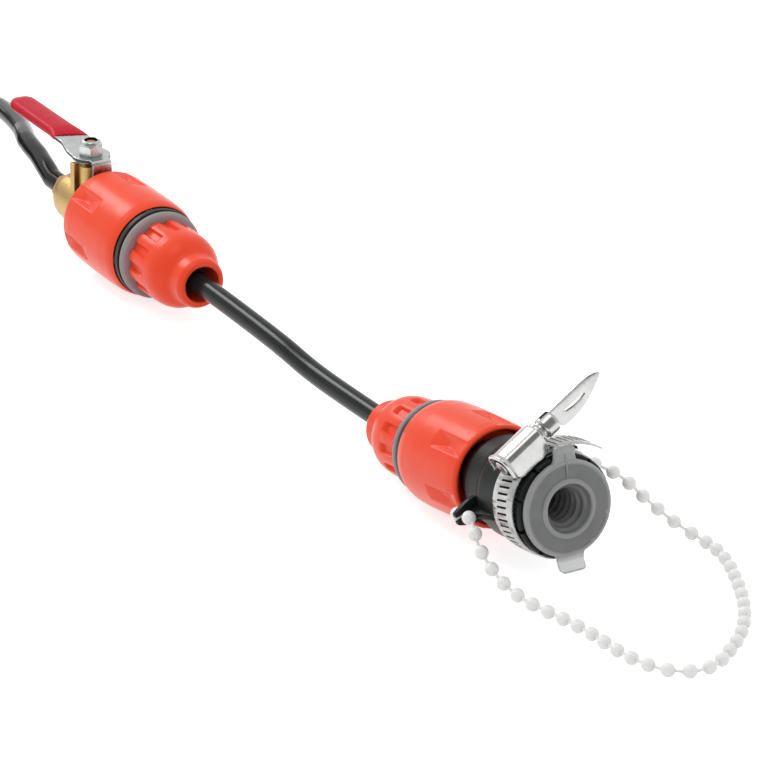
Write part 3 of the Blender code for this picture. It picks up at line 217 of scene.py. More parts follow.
# %% Extruded hose
def extruded_hose():
    made, tree = start_finish("extruded_black_pvc", "black_pvc", IOR=1.53, Specular_IOR_Level=0.11)
    place = add_node(tree, "ShaderNodeTexCoord")
    along = add_node(tree, "ShaderNodeMapping", {"Vector": place.outputs["UV"]}, {"Scale": (40.0, 12.0, 1.0)})
    lines = add_node(tree, "ShaderNodeTexNoise", {"Vector": along.outputs[0]}, {"Scale": 1.0, "Detail": 2.0})
    waves = add_node(
        tree, "ShaderNodeTexNoise", {"Vector": place.outputs["Object"]}, {"Scale": 90.0, "Detail": 2.0}
    )
    colour = add_node(tree, "ShaderNodeMix", {0: waves.outputs[0]}, data_type="RGBA")
    colour.inputs[6].default_value = linear("121413")
    colour.inputs[7].default_value = linear("262928")
    gloss = add_node(
        tree, "ShaderNodeMapRange", {"Value": lines.outputs[0]}, {"To Min": 0.12, "To Max": 0.24}
    )
    bump = add_node(
        tree, "ShaderNodeBump", {"Height": lines.outputs[0]}, {"Strength": 0.12, "Distance": 0.1 * MM}
    )
    swell = add_node(
        tree,
        "ShaderNodeBump",
        {"Height": waves.outputs[0], "Normal": bump.outputs[0]},
        {"Strength": 0.15, "Distance": 0.5 * MM},
    )
    return finished(made, colour.outputs[2], gloss, swell)


HOSE = extruded_hose()

# %% [markdown]
# The metals differ mostly in how they were made. The clamp is rolled stainless strip, whose fine lines
# run along the strip. The lever is pressed steel with a bright zinc coat, which has soft cloudy grain.
# The valve is brass, cast and then turned, and sits dull and warm beside them. A metal keeps the default
# IOR, because its colour already says how it reflects. The narrow edge faces of pressed sheet, the nut's
# socket and the screw's slot are painted dark grey as painted shade, and the meshes mark them with an
# attribute.

# %% Metals
def metal(name, slot, dark, bright, roughness, stretch, spread=0.35, bump=0.08, turn=(0, 0, 0)):
    """Metal with grain stretched by the given millimetres along x, y and z of a turned pattern."""
    made, tree = start_finish(name, slot, Metallic=1.0)
    place = add_node(tree, "ShaderNodeTexCoord").outputs["Object"]
    laid = add_node(
        tree, "ShaderNodeMapping", {"Vector": place}, {"Rotation": turn}, vector_type="TEXTURE"
    )
    squeezed = add_node(
        tree, "ShaderNodeMapping", {"Vector": laid.outputs[0]},
        {"Scale": tuple(1000 / size for size in stretch)}
    )
    grain = add_node(
        tree, "ShaderNodeTexNoise", {"Vector": squeezed.outputs[0]}, {"Scale": 1.0, "Detail": 3.0}
    )
    cloud = add_node(tree, "ShaderNodeTexNoise", {"Vector": place}, {"Scale": 220.0, "Detail": 2.0})
    colour = add_node(tree, "ShaderNodeMix", {0: cloud.outputs[0]}, data_type="RGBA")
    colour.inputs[6].default_value = linear(dark)
    colour.inputs[7].default_value = linear(bright)
    gloss = add_node(
        tree, "ShaderNodeMapRange", {"Value": grain.outputs[0]},
        {"From Min": 0.3, "From Max": 0.7, "To Min": roughness * (1 - spread),
         "To Max": roughness * (1 + spread)}
    )
    relief = add_node(
        tree, "ShaderNodeBump", {"Height": grain.outputs[0]}, {"Strength": bump, "Distance": 0.1 * MM}
    )
    # painted shade: marked sheet edges, the nut's socket and the screw's slot turn dark grey
    cut = add_node(tree, "ShaderNodeAttribute", attribute_name="cut_edge")
    shaded_colour = add_node(tree, "ShaderNodeMix", {0: cut.outputs["Fac"], 6: colour.outputs[2]}, data_type="RGBA")
    shaded_colour.inputs[7].default_value = linear("3C3C3C")
    return finished(made, shaded_colour.outputs[2], gloss, relief)


SCREW = Matrix.Translation(JOINTS["clamp_screw_turn"]["pos_m"]) @ Matrix(
    (
        -TAP.col[2].xyz,
        Vector(JOINTS["clamp_screw_turn"]["axis"]).cross(-TAP.col[2].xyz),
        Vector(JOINTS["clamp_screw_turn"]["axis"]),
    )
).transposed().to_4x4()
SCREW_TURN = tuple(SCREW.to_euler())
STRIP = metal(
    "rolled_stainless_strip", "stainless_steel", "8C8C8B", "BCBCBA", 0.26, (0.5, 0.5, 7.0), bump=0.04,
    turn=SCREW_TURN
)
STEEL = metal(
    "bright_stainless_steel", "stainless_steel", "AAAAA9", "CCCCCA", 0.2, (0.5, 0.5, 0.5), bump=0.04
)
ZINC = metal("bright_zinc_plate", "zinc_plated_steel", "A9ACAB", "CFD2D0", 0.3, (0.7, 0.7, 0.7), bump=0.1)
BRASS = metal("cast_brass", "brass", "A98A55", "C9AD76", 0.42, (0.6, 0.6, 0.6), bump=0.22)

# %% [markdown]
# Three softer finishes are left. The lever's grip is steel dipped in liquid vinyl, which cures glossy
# and slightly uneven. The tap insert is a clear grey rubber that light partly passes through, and its rim,
# lip and lower tab are painted paler as painted light. The ties are woven nylon with a soft fuzzy face.

# %% Vinyl, clear rubber and webbing
RED = moulded(
    "dipped_red_vinyl", "red_vinyl", "BC1628", "CA2233", 0.3, wave_mm=7.0, wave=0.35, IOR=1.52,
    Specular_IOR_Level=0.08,
)


def clear_rubber():
    made, tree = start_finish("clear_grey_tpe", "soft_grey_tpe", IOR=1.42, Transmission_Weight=0.5)
    place = add_node(tree, "ShaderNodeTexCoord").outputs["Object"]
    haze = add_node(tree, "ShaderNodeTexNoise", {"Vector": place}, {"Scale": 160.0, "Detail": 2.0})
    colour = add_node(tree, "ShaderNodeMix", {0: haze.outputs[0]}, data_type="RGBA")
    colour.inputs[6].default_value = linear("8E8F8F")
    colour.inputs[7].default_value = linear("A4A5A5")
    # painted light: the marked rim, lip and lower tab turn pale grey
    thin = add_node(tree, "ShaderNodeAttribute", attribute_name="thin_edge")
    with_painted_light = add_node(tree, "ShaderNodeMix", {0: thin.outputs["Fac"], 6: colour.outputs[2]}, data_type="RGBA")
    with_painted_light.inputs[7].default_value = linear("E4E5E5")
    gloss = add_node(tree, "ShaderNodeMapRange", {"Value": haze.outputs[0]}, {"To Min": 0.14, "To Max": 0.3})
    bump = add_node(
        tree, "ShaderNodeBump", {"Height": haze.outputs[0]}, {"Strength": 0.2, "Distance": 0.3 * MM}
    )
    return finished(made, with_painted_light.outputs[2], gloss, bump)


CLEAR = clear_rubber()
STRAP = moulded(
    "woven_nylon_tie", "black_nylon_strap", "191919", "262626", 0.85, wave_mm=1.2, wave=0.6, grain=0.8,
    IOR=1.5,
    Sheen_Weight=0.4, Sheen_Roughness=0.5,
)

# %% [markdown]
# ## Hoses
# A hose is a curve with a round section. Its route runs straight out of a fitting, sags to the surface
# and goes on along it. The short hose is held at both ends. The long one leaves the valve, and what
# isn't in use is wound into a flat coil of four layers, held by two ties, with the jet on its free end.

# %% Routes
def smooth_route(route, step):
    """Points about a step apart on the smooth curve through the route's points."""
    ends = [route[0] * 2 - route[1], *route, route[-1] * 2 - route[-2]]
    places = [route[0]]
    for a, b, c, d in zip(ends, ends[1:], ends[2:], ends[3:]):
        pieces = max(1, round((c - b).length / step))
        for i in range(1, pieces + 1):
            t = i / pieces
            square = (2 * a - 5 * b + 4 * c - d) * t**2
            cube = (3 * b - a - 3 * c + d) * t**3
            places.append(0.5 * (2 * b + (c - a) * t + square + cube))
    return places


def length_of(points):
    return sum((b - a).length for a, b in zip(points, points[1:]))


HOSE_R = 4.0 * MM
KIT_X = TAP.translation.x


def on_kit(points):
    """Points given in millimetres from the tap connector's stop ring, along the surface."""
    return [Vector((KIT_X + x * MM, y * MM, z * MM)) for x, y, z in points]


SPIGOT_Z = reach("connector_core_tap", TAP)[1]
CORE_END = SPIGOT_Z + 12.0 * MM
SHORT_ROUTE = [
    VALVE @ Vector((0, 0, CORE_END - 0.3 * MM)),
    VALVE @ Vector((0, 0, SPIGOT_Z - 2.0 * MM)),
    *on_kit([(-148.0, 1.3, 18.0), (-114.0, 0.8, 16.8), (-82.0, 0.6, 14.6)]),
    TAP @ Vector((0, 0, SPIGOT_Z - 2.0 * MM)),
    TAP @ Vector((0, 0, CORE_END - 0.3 * MM)),
]
short_line = smooth_route(SHORT_ROUTE, 6.0 * MM)
print(f"short hose {length_of(short_line) / MM:.1f} mm")

# %% [markdown]
# The coil follows a rule: two turns inwards, half a turn to climb one hose's width, two turns outwards,
# and so on for four layers. Each layer lies in the valleys' place of the one below, so a tie can hold it.

# %% Coil
COIL_CENTRE = Vector((KIT_X - 456.0 * MM, -30.0 * MM, 0))
COIL_R = 48.0 * MM
COIL_PITCH = 8.7 * MM
COIL_TURNS = 2.0
COIL_LOW = 5.3 * MM
LOOP_POINTS = 24
HALF_BAND = COIL_TURNS * COIL_PITCH / 2


def coil_point(turns):
    """A point of the coil after so many turns."""
    lap = COIL_TURNS + 0.5
    layer = int(turns // lap)
    within = turns - layer * lap
    inward = -1 if layer % 2 == 0 else 1
    level = float(layer)
    if within <= COIL_TURNS:
        offset = -inward * HALF_BAND + inward * COIL_PITCH * within
    else:
        climb = within - COIL_TURNS
        offset = inward * (HALF_BAND + COIL_PITCH * (climb - 2 * climb**2))
        share = climb / 0.5
        level += share * share * (3 - 2 * share)
    angle = math.radians(100.0) + 2 * math.pi * turns
    around = Vector((math.cos(angle), math.sin(angle), 0)) * (COIL_R + offset)
    return COIL_CENTRE + around + Vector((0, 0, COIL_LOW + COIL_PITCH * level))


lead = (coil_point(1 / LOOP_POINTS) - coil_point(0)).normalized()
lead.z = 0
tail_high = reach("valve_tail", VALVE)[2]
hose_start = tail_high - 8.2 * MM
coil_mouth = coil_point(0) - lead * 2 * HOSE_R
LONG_ROUTE = [
    VALVE @ Vector((0, 0, hose_start)),
    VALVE @ Vector((0, 0, hose_start + 10.0 * MM)),
    *on_kit([(-308.5, 3.4, 22.1), (-321, 6.5, 22.6), (-339, 10.4, 22.3), (-357.5, 17.8, 19.6)]),
    *on_kit([(-379, 24.4, 16.6), (-402.5, 30.2, 12.6), (-426, 32.2, 8.2)]),
    coil_mouth - lead * (2 * HOSE_R + 0.3 * MM),
    coil_mouth - lead * 0.3 * MM,
]
long_line = smooth_route(LONG_ROUTE, 9.0 * MM)
coil_line = [coil_mouth, coil_point(0)]
step = 0
while length_of(coil_line) < 3.0 - length_of(long_line) - 2 * HOSE_R:
    step += 1
    coil_line.append(coil_point(step / LOOP_POINTS))
heading = (coil_line[-1] - coil_line[-2]).normalized()
coil_line.append(coil_line[-1] + heading * 2 * HOSE_R)
print(f"long hose {length_of(long_line) / MM:.1f} mm free, {length_of(coil_line) / MM:.1f} mm coiled")

# %% [markdown]
# A hose is swept, not bevelled, so that it gets a UV map that follows it. Each row of the sweep has a
# distance along the line and a radius. The first rows run into the end's bore, and the last rows run
# into the other one, which leaves the wall's thickness to be seen.

# %% Sweep and hose helpers
def new_piece(name, mesh, finish, body, *nodes):
    """Puts a finished mesh on its body, in place of the CAD nodes that it stands for."""
    made = bpy.data.objects.new(name, mesh)
    scene.collection.objects.link(made)
    mesh.materials.clear()
    mesh.materials.append(finish)
    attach(made, body)
    if nodes:
        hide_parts(*nodes)
    print(f"{name}: {len(mesh.polygons)} faces")
    return made


def swept(name, points, rows, sides=24):
    """A closed tube round a line. rows holds (distance, radius) pairs; radius 0 closes an end."""
    line = np.array([tuple(point) for point in points])
    run = np.concatenate([[0.0], np.cumsum(np.linalg.norm(np.diff(line, axis=0), axis=1))])

    def at(distance):
        return np.array([np.interp(distance, run, line[:, axis]) for axis in range(3)])

    verts, faces, across = [], [], None
    for distance, radius in rows:
        ahead = at(min(distance + MM, run[-1])) - at(max(distance - MM, 0.0))
        ahead /= np.linalg.norm(ahead)
        across = np.array([0.0, 0.0, 1.0]) if across is None else across
        across = across - ahead * (across @ ahead)
        across /= np.linalg.norm(across)
        side = np.cross(ahead, across)
        angles = 2 * np.pi * np.arange(sides) / sides
        ring = np.outer(np.cos(angles), across) + np.outer(np.sin(angles), side)
        verts.append(at(distance) + max(radius, 1e-6) * ring)
    count = len(rows)
    for row in range(count - 1):
        for j in range(sides):
            k = (j + 1) % sides
            faces.append((row * sides + j, row * sides + k, (row + 1) * sides + k, (row + 1) * sides + j))
    faces += [tuple(range(sides))[::-1], tuple(range((count - 1) * sides, count * sides))]
    mesh = bpy.data.meshes.new(name)
    mesh.from_pydata(np.concatenate(verts).tolist(), [], faces)
    uv = mesh.uv_layers.new(name="UVMap")
    loops = np.array([loop.vertex_index for loop in mesh.loops])
    around = (loops % sides) / sides
    around = np.where((around == 0) & (np.arange(len(loops)) % 4 % 3 != 0), 1.0, around)
    lengths = np.array([distance for distance, _ in rows])[loops // sides]
    uv.data.foreach_set("uv", np.stack([around, lengths], -1).astype(np.float32).ravel())
    mesh.shade_smooth()
    mesh.set_sharp_from_angle(angle=math.radians(50))
    return mesh


def hose_rows(length, start_bore, end_bore, step):
    """Rows of a hose with a bore at either end; a depth of 0 leaves that end solid."""
    wall = 2.65 * MM
    ease = 0.35 * MM
    rows = [(start_bore, 0.0), (start_bore, wall), (0.0, wall)]
    rows += [(0.0, HOSE_R - ease), (ease, HOSE_R)]
    rows += [(float(run), HOSE_R) for run in np.arange(step, length - step / 2, step)]
    rows += [(length - ease, HOSE_R), (length, HOSE_R - ease)]
    return rows + [(length, wall), (length - end_bore, wall), (length - end_bore, 0.0)]


# %% Hoses
short_length = length_of(short_line)
short_mesh = swept("short_hose_tube", short_line, hose_rows(short_length, 12.3 * MM, 12.3 * MM, 2.0 * MM), 40)
short_hose = new_piece("short_hose_tube", short_mesh, HOSE, "hose_line", "short_hose")
long_length = length_of(long_line)
long_mesh = swept("long_hose_tube", long_line, hose_rows(long_length, 10.0 * MM, 1.0 * MM, 2.0 * MM), 40)
long_hose = new_piece("long_hose_tube", long_mesh, HOSE, "hose_line", "long_hose")
round_coil = smooth_route(coil_line, 3.2 * MM)
coil_length = length_of(round_coil)
coil_mesh = swept("long_hose_coil_tube", round_coil, hose_rows(coil_length, 1.0 * MM, 1.0 * MM, 3.2 * MM), 24)
coil = new_piece("long_hose_coil_tube", coil_mesh, HOSE, "hose_line", "long_hose_coil")

# %% [markdown]
# ## Turned shapes
# Most pieces here are round, so they start as a profile turned about an axis, as on a lathe. A sharp
# corner never catches light the way a real edge does, so every corner of a profile is eased with a
# small arc. A point just beyond either end of the arc holds the flat faces flat when they are smoothed.

# %% Turning helpers
def eased(points, radius, closed=True, steps=3):
    """The outline with each corner replaced by a small arc. Points and radius are in millimetres."""
    places = [Vector(point) for point in points]
    made = []
    for i, here in enumerate(places):
        if not closed and i in (0, len(places) - 1):
            made.append(tuple(here))
            continue
        before = places[i - 1] - here
        after = places[(i + 1) % len(places)] - here
        if before.angle(-after, 0.0) < math.radians(10):
            made.append(tuple(here))
            continue
        ease = min(radius, 0.36 * before.length, 0.36 * after.length)
        start = before.normalized() * ease
        end = after.normalized() * ease
        made.append(tuple(here + start * 1.3))
        for k in range(steps + 1):
            t = k / steps
            made.append(tuple(here + start * (1 - t) ** 2 + end * t**2))
        made.append(tuple(here + end * 1.3))
    return made


def filled(points, step):
    """The outline with points added so that none are further apart than the step."""
    made = []
    for a, b in zip(points, points[1:] + points[:1]):
        pieces = max(1, math.ceil(math.dist(a, b) / step))
        made += [
            (a[0] + (b[0] - a[0]) * i / pieces, a[1] + (b[1] - a[1]) * i / pieces) for i in range(pieces)
        ]
    return made


def turned(name, profile, place, steps=96, shape=None, crease=32):
    """Turns a closed (radius, z) profile, in millimetres, down the outside and up the bore.

    shape(angle, radius, z) may return new radii, for grips, grooves and threads."""
    radius, z = np.array(profile).T
    angle = 2 * np.pi * np.arange(steps) / steps
    grid_r = np.tile(radius, (steps, 1))
    grid_z = np.tile(z, (steps, 1))
    grid_a = np.tile(angle[:, None], (1, len(radius)))
    if shape:
        grid_r = shape(grid_a, grid_r, grid_z)
    local = np.stack(
        [grid_r * np.cos(grid_a), grid_r * np.sin(grid_a), grid_z, np.full_like(grid_z, 1 / MM)], -1
    )
    world = (local.reshape(-1, 4) * MM) @ np.array(place).T
    count = len(radius)
    i, j = np.meshgrid(np.arange(steps), np.arange(count), indexing="ij")
    near, far = i * count, (i + 1) % steps * count
    nxt = (j + 1) % count
    faces = np.stack([near + j, near + nxt, far + nxt, far + j], -1).reshape(-1, 4)
    mesh = bpy.data.meshes.new(name)
    mesh.from_pydata(world[:, :3].tolist(), [], faces.tolist())
    tidy(mesh, crease)
    return mesh


def tidy(mesh, crease=32):
    """Joins doubled points, turns every face outwards and smooths all but real creases."""
    bm = bmesh.new()
    bm.from_mesh(mesh)
    bmesh.ops.remove_doubles(bm, verts=bm.verts, dist=0.000002)
    bmesh.ops.dissolve_degenerate(bm, edges=bm.edges, dist=0.000001)
    bmesh.ops.recalc_face_normals(bm, faces=bm.faces)
    bm.to_mesh(mesh)
    bm.free()
    mesh.shade_smooth()
    mesh.set_sharp_from_angle(angle=math.radians(crease))


def evaluated_mesh(obj, name):
    """The object's modified mesh as a plain mesh. The object is removed."""
    bpy.context.view_layer.update()
    mesh = bpy.data.meshes.new_from_object(obj.evaluated_get(bpy.context.evaluated_depsgraph_get()))
    mesh.name = name
    bpy.data.objects.remove(obj, do_unlink=True)
    return mesh


def block(size, place):
    """A box mesh of the given millimetres, where the matrix puts it."""
    mesh = bpy.data.meshes.new("block")
    bm = bmesh.new()
    bmesh.ops.create_cube(bm, size=1.0, matrix=place @ Matrix.Diagonal((*(s * MM for s in size), 1.0)))
    bm.to_mesh(mesh)
    bm.free()
    return mesh


def combined(mesh, tools, crease=32):
    """Cuts or joins other meshes, in turn. tools holds (operation, mesh) pairs."""
    work = bpy.data.objects.new("work", mesh)
    scene.collection.objects.link(work)
    helpers = []
    for operation, tool in tools:
        helper = bpy.data.objects.new("helper", tool)
        scene.collection.objects.link(helper)
        helpers.append(helper)
        boolean = work.modifiers.new(operation, "BOOLEAN")
        boolean.operation = operation
        boolean.object = helper
    name = mesh.name
    mesh.name = name + "_raw"
    made = evaluated_mesh(work, name)
    for helper in helpers:
        bpy.data.objects.remove(helper, do_unlink=True)
    tidy(made, crease)
    return made


def pressed(name, loops, thickness, edge, place, cut_edge=False):
    """A flat blank with holes and rounded edges, from a filled curve."""
    curve = bpy.data.curves.new(name, "CURVE")
    curve.dimensions = "2D"
    curve.fill_mode = "BOTH"
    curve.extrude = (thickness / 2 - edge) * MM
    curve.bevel_depth = edge * MM
    curve.offset = -edge * MM
    curve.bevel_resolution = 2
    for loop in loops:
        spline = curve.splines.new("POLY")
        spline.points.add(len(loop) - 1)
        for point, (x, y) in zip(spline.points, loop):
            point.co = (x * MM, y * MM, 0, 1)
        spline.use_cyclic_u = True
    blank = bpy.data.objects.new(name + "_blank", curve)
    scene.collection.objects.link(blank)
    mesh = evaluated_mesh(blank, name)
    tidy(mesh, 40)
    # painted shade: the blank's narrow edge faces are marked to be coloured dark
    if cut_edge:
        mark(mesh, "cut_edge", lambda x, y, z: abs(z) < thickness / 2 - 0.8 * edge)
    mesh.transform(place)
    return mesh


def mark(mesh, name, rule, place=None):
    """Stores a number between 0 and 1 at every point, from a rule on its place in millimetres."""
    back = place.inverted() if place else Matrix.Identity(4)
    values = [float(rule(*(back @ vertex.co / MM))) for vertex in mesh.vertices]
    if name in mesh.attributes:
        mesh.attributes.remove(mesh.attributes[name])
    mesh.attributes.new(name, "FLOAT", "POINT").data.foreach_set("value", values)


def joined_rows(name, rows, crease=50):
    """A closed skin over rings of points, with a flat cap at either end."""
    count = len(rows[0])
    faces = [tuple(range(count)), tuple(range((len(rows) - 1) * count, len(rows) * count))[::-1]]
    for row in range(0, (len(rows) - 1) * count, count):
        for k in range(count):
            n = (k + 1) % count
            faces.append((row + k, row + count + k, row + count + n, row + n))
    mesh = bpy.data.meshes.new(name)
    mesh.from_pydata([point for row in rows for point in row], [], faces)
    tidy(mesh, crease)
    return mesh


def shift(x, y, z):
    return Matrix.Translation((x * MM, y * MM, z * MM))


def spin(degrees, axis="Z"):
    return Matrix.Rotation(math.radians(degrees), 4, axis)


# %% [markdown]
# ## The quick connectors
# A connector's orange sleeve is pulled back with finger and thumb, so it has six grips. Each is a
# shallow pocket with four flat facets. Its end towards the stop ring is what the finger pushes on. The
# pockets are a rule, not a cut: at each point, the turned sleeve's radius drops to whichever of the four
# facets is nearest the surface. The mesh starts at a pocket's middle, so its edges fall on mesh lines.

# %% Sleeves
POCKET = {"start": 25.0, "end": 44.5, "half": 3.4, "depth": 2.1, "count": 6}


def pocketed(angle, radius, z):
    spread = 360 / POCKET["count"]
    turn = (np.degrees(angle) + spread / 2) % spread - spread / 2
    around = np.abs(np.radians(turn)) * 19.5
    flank = (POCKET["half"] - around) * 0.85
    ramps = np.minimum(z - POCKET["start"], (POCKET["end"] - z)) * 0.26
    depth = np.clip(np.minimum(flank, ramps), 0, POCKET["depth"])
    return np.where(radius > 18.0, radius - depth, radius)


def make_sleeve(side, place, phase):
    outside = [
        (18.2, 45.0), (18.9, 44.0), (19.3, 40.0), (19.5, 29.0), (19.5, 14.5), (19.25, 8.5), (18.8, 6.0)
    ]
    inside = [(18.2, 4.5), (17.9, 4.5), (17.9, 21.4), (11.6, 21.4), (11.6, 37.0), (15.9, 39.0), (17.2, 45.0)]
    profile = filled(eased(outside + inside, 0.6), 0.6)
    mesh = turned(f"sleeve_{side}", profile, place @ spin(phase), 288, pocketed, 45)
    return new_piece(f"sleeve_{side}", mesh, ORANGE, f"sleeve_{side}", f"grip_sleeve_{side}")


make_sleeve("tap", TAP, 18.0)
make_sleeve("valve", VALVE, 45.0)

# %% [markdown]
# The hose nut is screwed up by hand over the hose. Its wide end has twelve lands with grooves between
# them, open towards the stop ring. A round shoulder follows, then a narrow nose that the hose leaves by.
# The nose is far wider than the hose, so the dark split collet shows inside it.

# %% Hose nuts
def fluted(angle, radius, z):
    """Twelve grooves, with a nearly flat land between two of them."""
    spread = 360 / 12
    turn = (np.degrees(angle) + spread / 2) % spread - spread / 2
    around = np.abs(np.radians(turn)) * 15.0
    across = np.clip((1.9 - around) / 0.5, 0, 1)
    ends = np.clip((z + 13.6) / 1.1, 0, 1)
    land = np.clip((z + 14.5) / 3.0, 0, 1) * 0.3 * np.cos(np.radians(turn) * 12) * (z < -2.2)
    depth = 1.25 * across * across * (3 - 2 * across) * ends
    return np.where((radius > 12.5) & (z > -20), radius - depth - land * 0.6, radius)


def make_nut(side, place):
    profile = [(14.6, -1.9), (14.9, -3.0), (15.0, -13.0), (15.0, -15.5), (14.8, -18.0), (14.3, -20.3)]
    profile += [(13.4, -22.3), (12.2, -24.0), (10.9, -25.3), (10.15, -26.3), (10.0, -27.2), (10.0, -32.2)]
    profile += [(9.0, -33.9), (7.1, -33.9), (7.1, -10.8), (11.3, -10.8), (11.3, -1.9)]
    mesh = turned(f"nut_{side}", filled(eased(profile, 0.6), 0.5), place, 288, fluted, 40)
    return new_piece(f"nut_{side}", mesh, ORANGE, f"nut_{side}", f"hose_nut_{side}")


make_nut("tap", TAP)
make_nut("valve", VALVE)

# %% [markdown]
# Between sleeve and nut sit two rings: the flange of the connector's dark core and a soft grey stop
# ring, moulded with a round back. The core runs on inside, past two windows for the steel claws.

# %% Stop rings, cores and collets
def make_rings(side, place):
    ring = [(17.5 - 1.6 * (1 - math.cos(a)), 1.6 * math.sin(a)) for a in np.linspace(-1.57, 1.57, 15)[::-1]]
    mesh = turned(f"ring_{side}", ring + [(11.3, -1.6), (11.3, 1.6)], place, 144, crease=60)
    new_piece(f"ring_{side}", mesh, RING_GREY, "hose_line", f"stop_ring_{side}")
    core = [(10.8, 40.0), (10.8, 4.2), (17.7, 4.2), (17.7, 1.9), (11.0, 1.9), (11.0, -9.9), (2.35, -9.9)]
    core += [(2.35, -21.9), (1.5, -21.9), (1.5, -7.9), (3.5, -5.9), (3.5, 19.0), (8.1, 19.0), (8.1, 40.0)]
    mesh = turned(f"core_{side}", eased(core, 0.4), place, 96)
    window = block((6.0, 24.0, 4.2), place @ shift(0, 0, 33.0))
    mesh = combined(mesh, [("DIFFERENCE", window)])
    new_piece(f"core_{side}", mesh, DARK, "hose_line", f"connector_core_{side}")


make_rings("tap", TAP)
make_rings("valve", VALVE)

# %% [markdown]
# ## The tap connector
# The black cup is split into fingers, so that the clamp can close it on a tap. Its back carries two
# forked lugs for the bead chain. The slots are boxes, cut with exact Booleans from a turned cup.

# %% Cup
def lug(sign):
    """Frame of a lug whose x points outwards and whose z runs along the cup."""
    return TAP @ spin(16.0 + (180.0 if sign < 0 else 0.0)) @ shift(0, 0, 56.0)


def lug_meshes(sign):
    """A tapered plate across the cup, and a gusset behind it that runs along the cup."""
    plate = [
        (16.6, -4.8), (19.5, -4.6), (24.2, -3.2), (26.3, -2.2), (26.3, 2.2), (24.2, 3.2), (19.5, 4.6),
        (16.6, 4.8)
    ]
    gusset = [(16.6, 0.3), (22.6, 0.3), (21.6, 3.2), (18.3, 13.6), (17.0, 14.6), (16.6, 14.6)]
    return [
        pressed("lug_plate", [eased(plate, 0.6)], 2.0, 0.25, lug(sign)),
        pressed("lug_gusset", [eased(gusset, 0.6)], 2.4, 0.3, lug(sign) @ spin(90.0, "X")),
    ]


def make_cup():
    profile = [
        (18.1, 88.0), (18.6, 87.2), (18.6, 85.7), (18.2, 85.7), (18.2, 60.0), (16.8, 56.0), (16.4, 48.0)
    ]
    profile += [(13.2, 40.6), (7.8, 40.6), (7.8, 35.1), (6.8, 35.1), (6.8, 30.9), (7.8, 30.9), (7.8, 26.45)]
    profile += [(5.8, 26.45), (5.8, 24.55), (7.8, 24.55), (7.8, 21.5), (6.8, 20.0), (3.5, 20.0), (3.5, 52.0)]
    profile += [(15.9, 52.0), (15.9, 88.0)]
    cup = turned("tap_cup", eased(profile, 0.45), TAP, 144)
    tools = [("UNION", mesh) for sign in (1, -1) for mesh in lug_meshes(sign)]
    tools += [("DIFFERENCE", block((5.6, 1.8, 5.0), lug(sign) @ shift(25.2, 0, 0))) for sign in (1, -1)]
    for i in range(10):
        tools.append(
            ("DIFFERENCE", block((6.3, 1.4, 20.0), TAP @ spin(36.0 * (i + 0.5)) @ shift(17.05, 0, 80.0)))
        )
    tools.append(("DIFFERENCE", block((9.2, 55.8, 4.3), TAP @ shift(0, 0, 87.85))))
    return new_piece("tap_cup", combined(cup, tools), BLACK, "tap_head", "tap_body")


make_cup()

# %% [markdown]
# The insert is one rubber moulding. A flange covers the cup's rim, a raised lip goes round the hole and
# the hole has a coarse thread that seals on a tap. A thread is a rule, as the scoops are: the radius of
# the bore depends on the height plus the angle. The upper tab is flat, and the lower one curls outwards.

# %% Insert
def threaded(angle, radius, z):
    """Ribs of a 3.4 mm thread on the bore."""
    wave = 0.5 + 0.5 * np.cos(2 * np.pi * (z / 3.4 + angle / (2 * np.pi)))
    part = np.clip((z - 64.5) / 1.5, 0, 1) * np.clip((88.4 - z) / 1.5, 0, 1)
    return np.where((radius < 7.6) & (radius > 7.0), radius - 1.1 * wave**2 * part, radius)


def tab_mesh(sign, half, thick, curl):
    """A tab with filleted roots and rounded corners, curled outwards towards its end."""
    rows, sides = [], 24
    for i in range(25):
        share = i / 24
        y = 14.5 + 7.9 * share
        corner = max(0.0, share - 0.8) / 0.2
        wide = half + 2.2 * max(0.0, 1 - (y - 14.5) / 4.6) ** 2 - 1.6 * (
            1 - math.sqrt(1 - min(0.97, corner) ** 2)
        )
        thin = thick / 2 * (1 - 0.3 * max(0.0, corner) ** 3)
        middle = 90.2 - thick / 2 + curl * max(0.0, share - 0.3) ** 2
        rows.append([])
        for k in range(sides):
            c, s = math.cos(2 * math.pi * k / sides), math.sin(2 * math.pi * k / sides)
            x = wide * math.copysign(abs(c) ** 0.25, c)
            rows[-1].append(
                TAP @ Vector((x * MM, sign * y * MM, (middle + thin * math.copysign(abs(s) ** 0.5, s)) * MM))
            )
    return joined_rows("tab", rows)


def thin_edge(x, y, z):
    """Painted light, as a paler colour: some at the flange's border where light would come through, a painted
    highlight on the lip, most at the lower tab.
    """
    radius = math.hypot(x, y)
    border = min(1.0, max(0.0, (radius - 15.5) / 0.9)) * 0.55
    lip = 0.45 if z > 90.75 and 8.0 < radius < 11.0 else 0.0
    tab = min(1.0, max(0.0, (abs(y) - 17.4) / 1.5)) if abs(x) < 7 else 0.0
    return max(border if z > 87.5 else 0.0, lip, tab if y < 0 else 0.0)


def make_insert():
    profile = [
        (9.0, 91.3), (10.2, 91.3), (10.9, 90.4), (15.2, 90.3), (15.9, 90.6), (16.8, 90.6), (17.3, 90.0)
    ]
    profile += [
        (17.3, 88.3), (15.6, 88.3), (15.6, 52.3), (5.6, 52.3), (5.6, 64.3), (7.3, 64.3), (7.3, 88.4),
        (8.2, 89.2)
    ]
    body = turned("tap_rubber", filled(eased(profile, 0.35), 0.3), TAP, 144, threaded, 40)
    rib = block((0.8, 9.5, 0.7), TAP @ shift(0, 15.0, 90.35))
    tools = [("UNION", tab_mesh(1, 4.0, 2.6, 0.0)), ("UNION", rib), ("UNION", tab_mesh(-1, 5.2, 2.0, 4.5))]
    mesh = combined(body, tools, 40)
    # painted light: marks the pale border, lip and lower tab of the insert
    mark(mesh, "thin_edge", thin_edge, TAP)
    return new_piece("tap_rubber", mesh, CLEAR, "tap_head", "tap_insert")


make_insert()

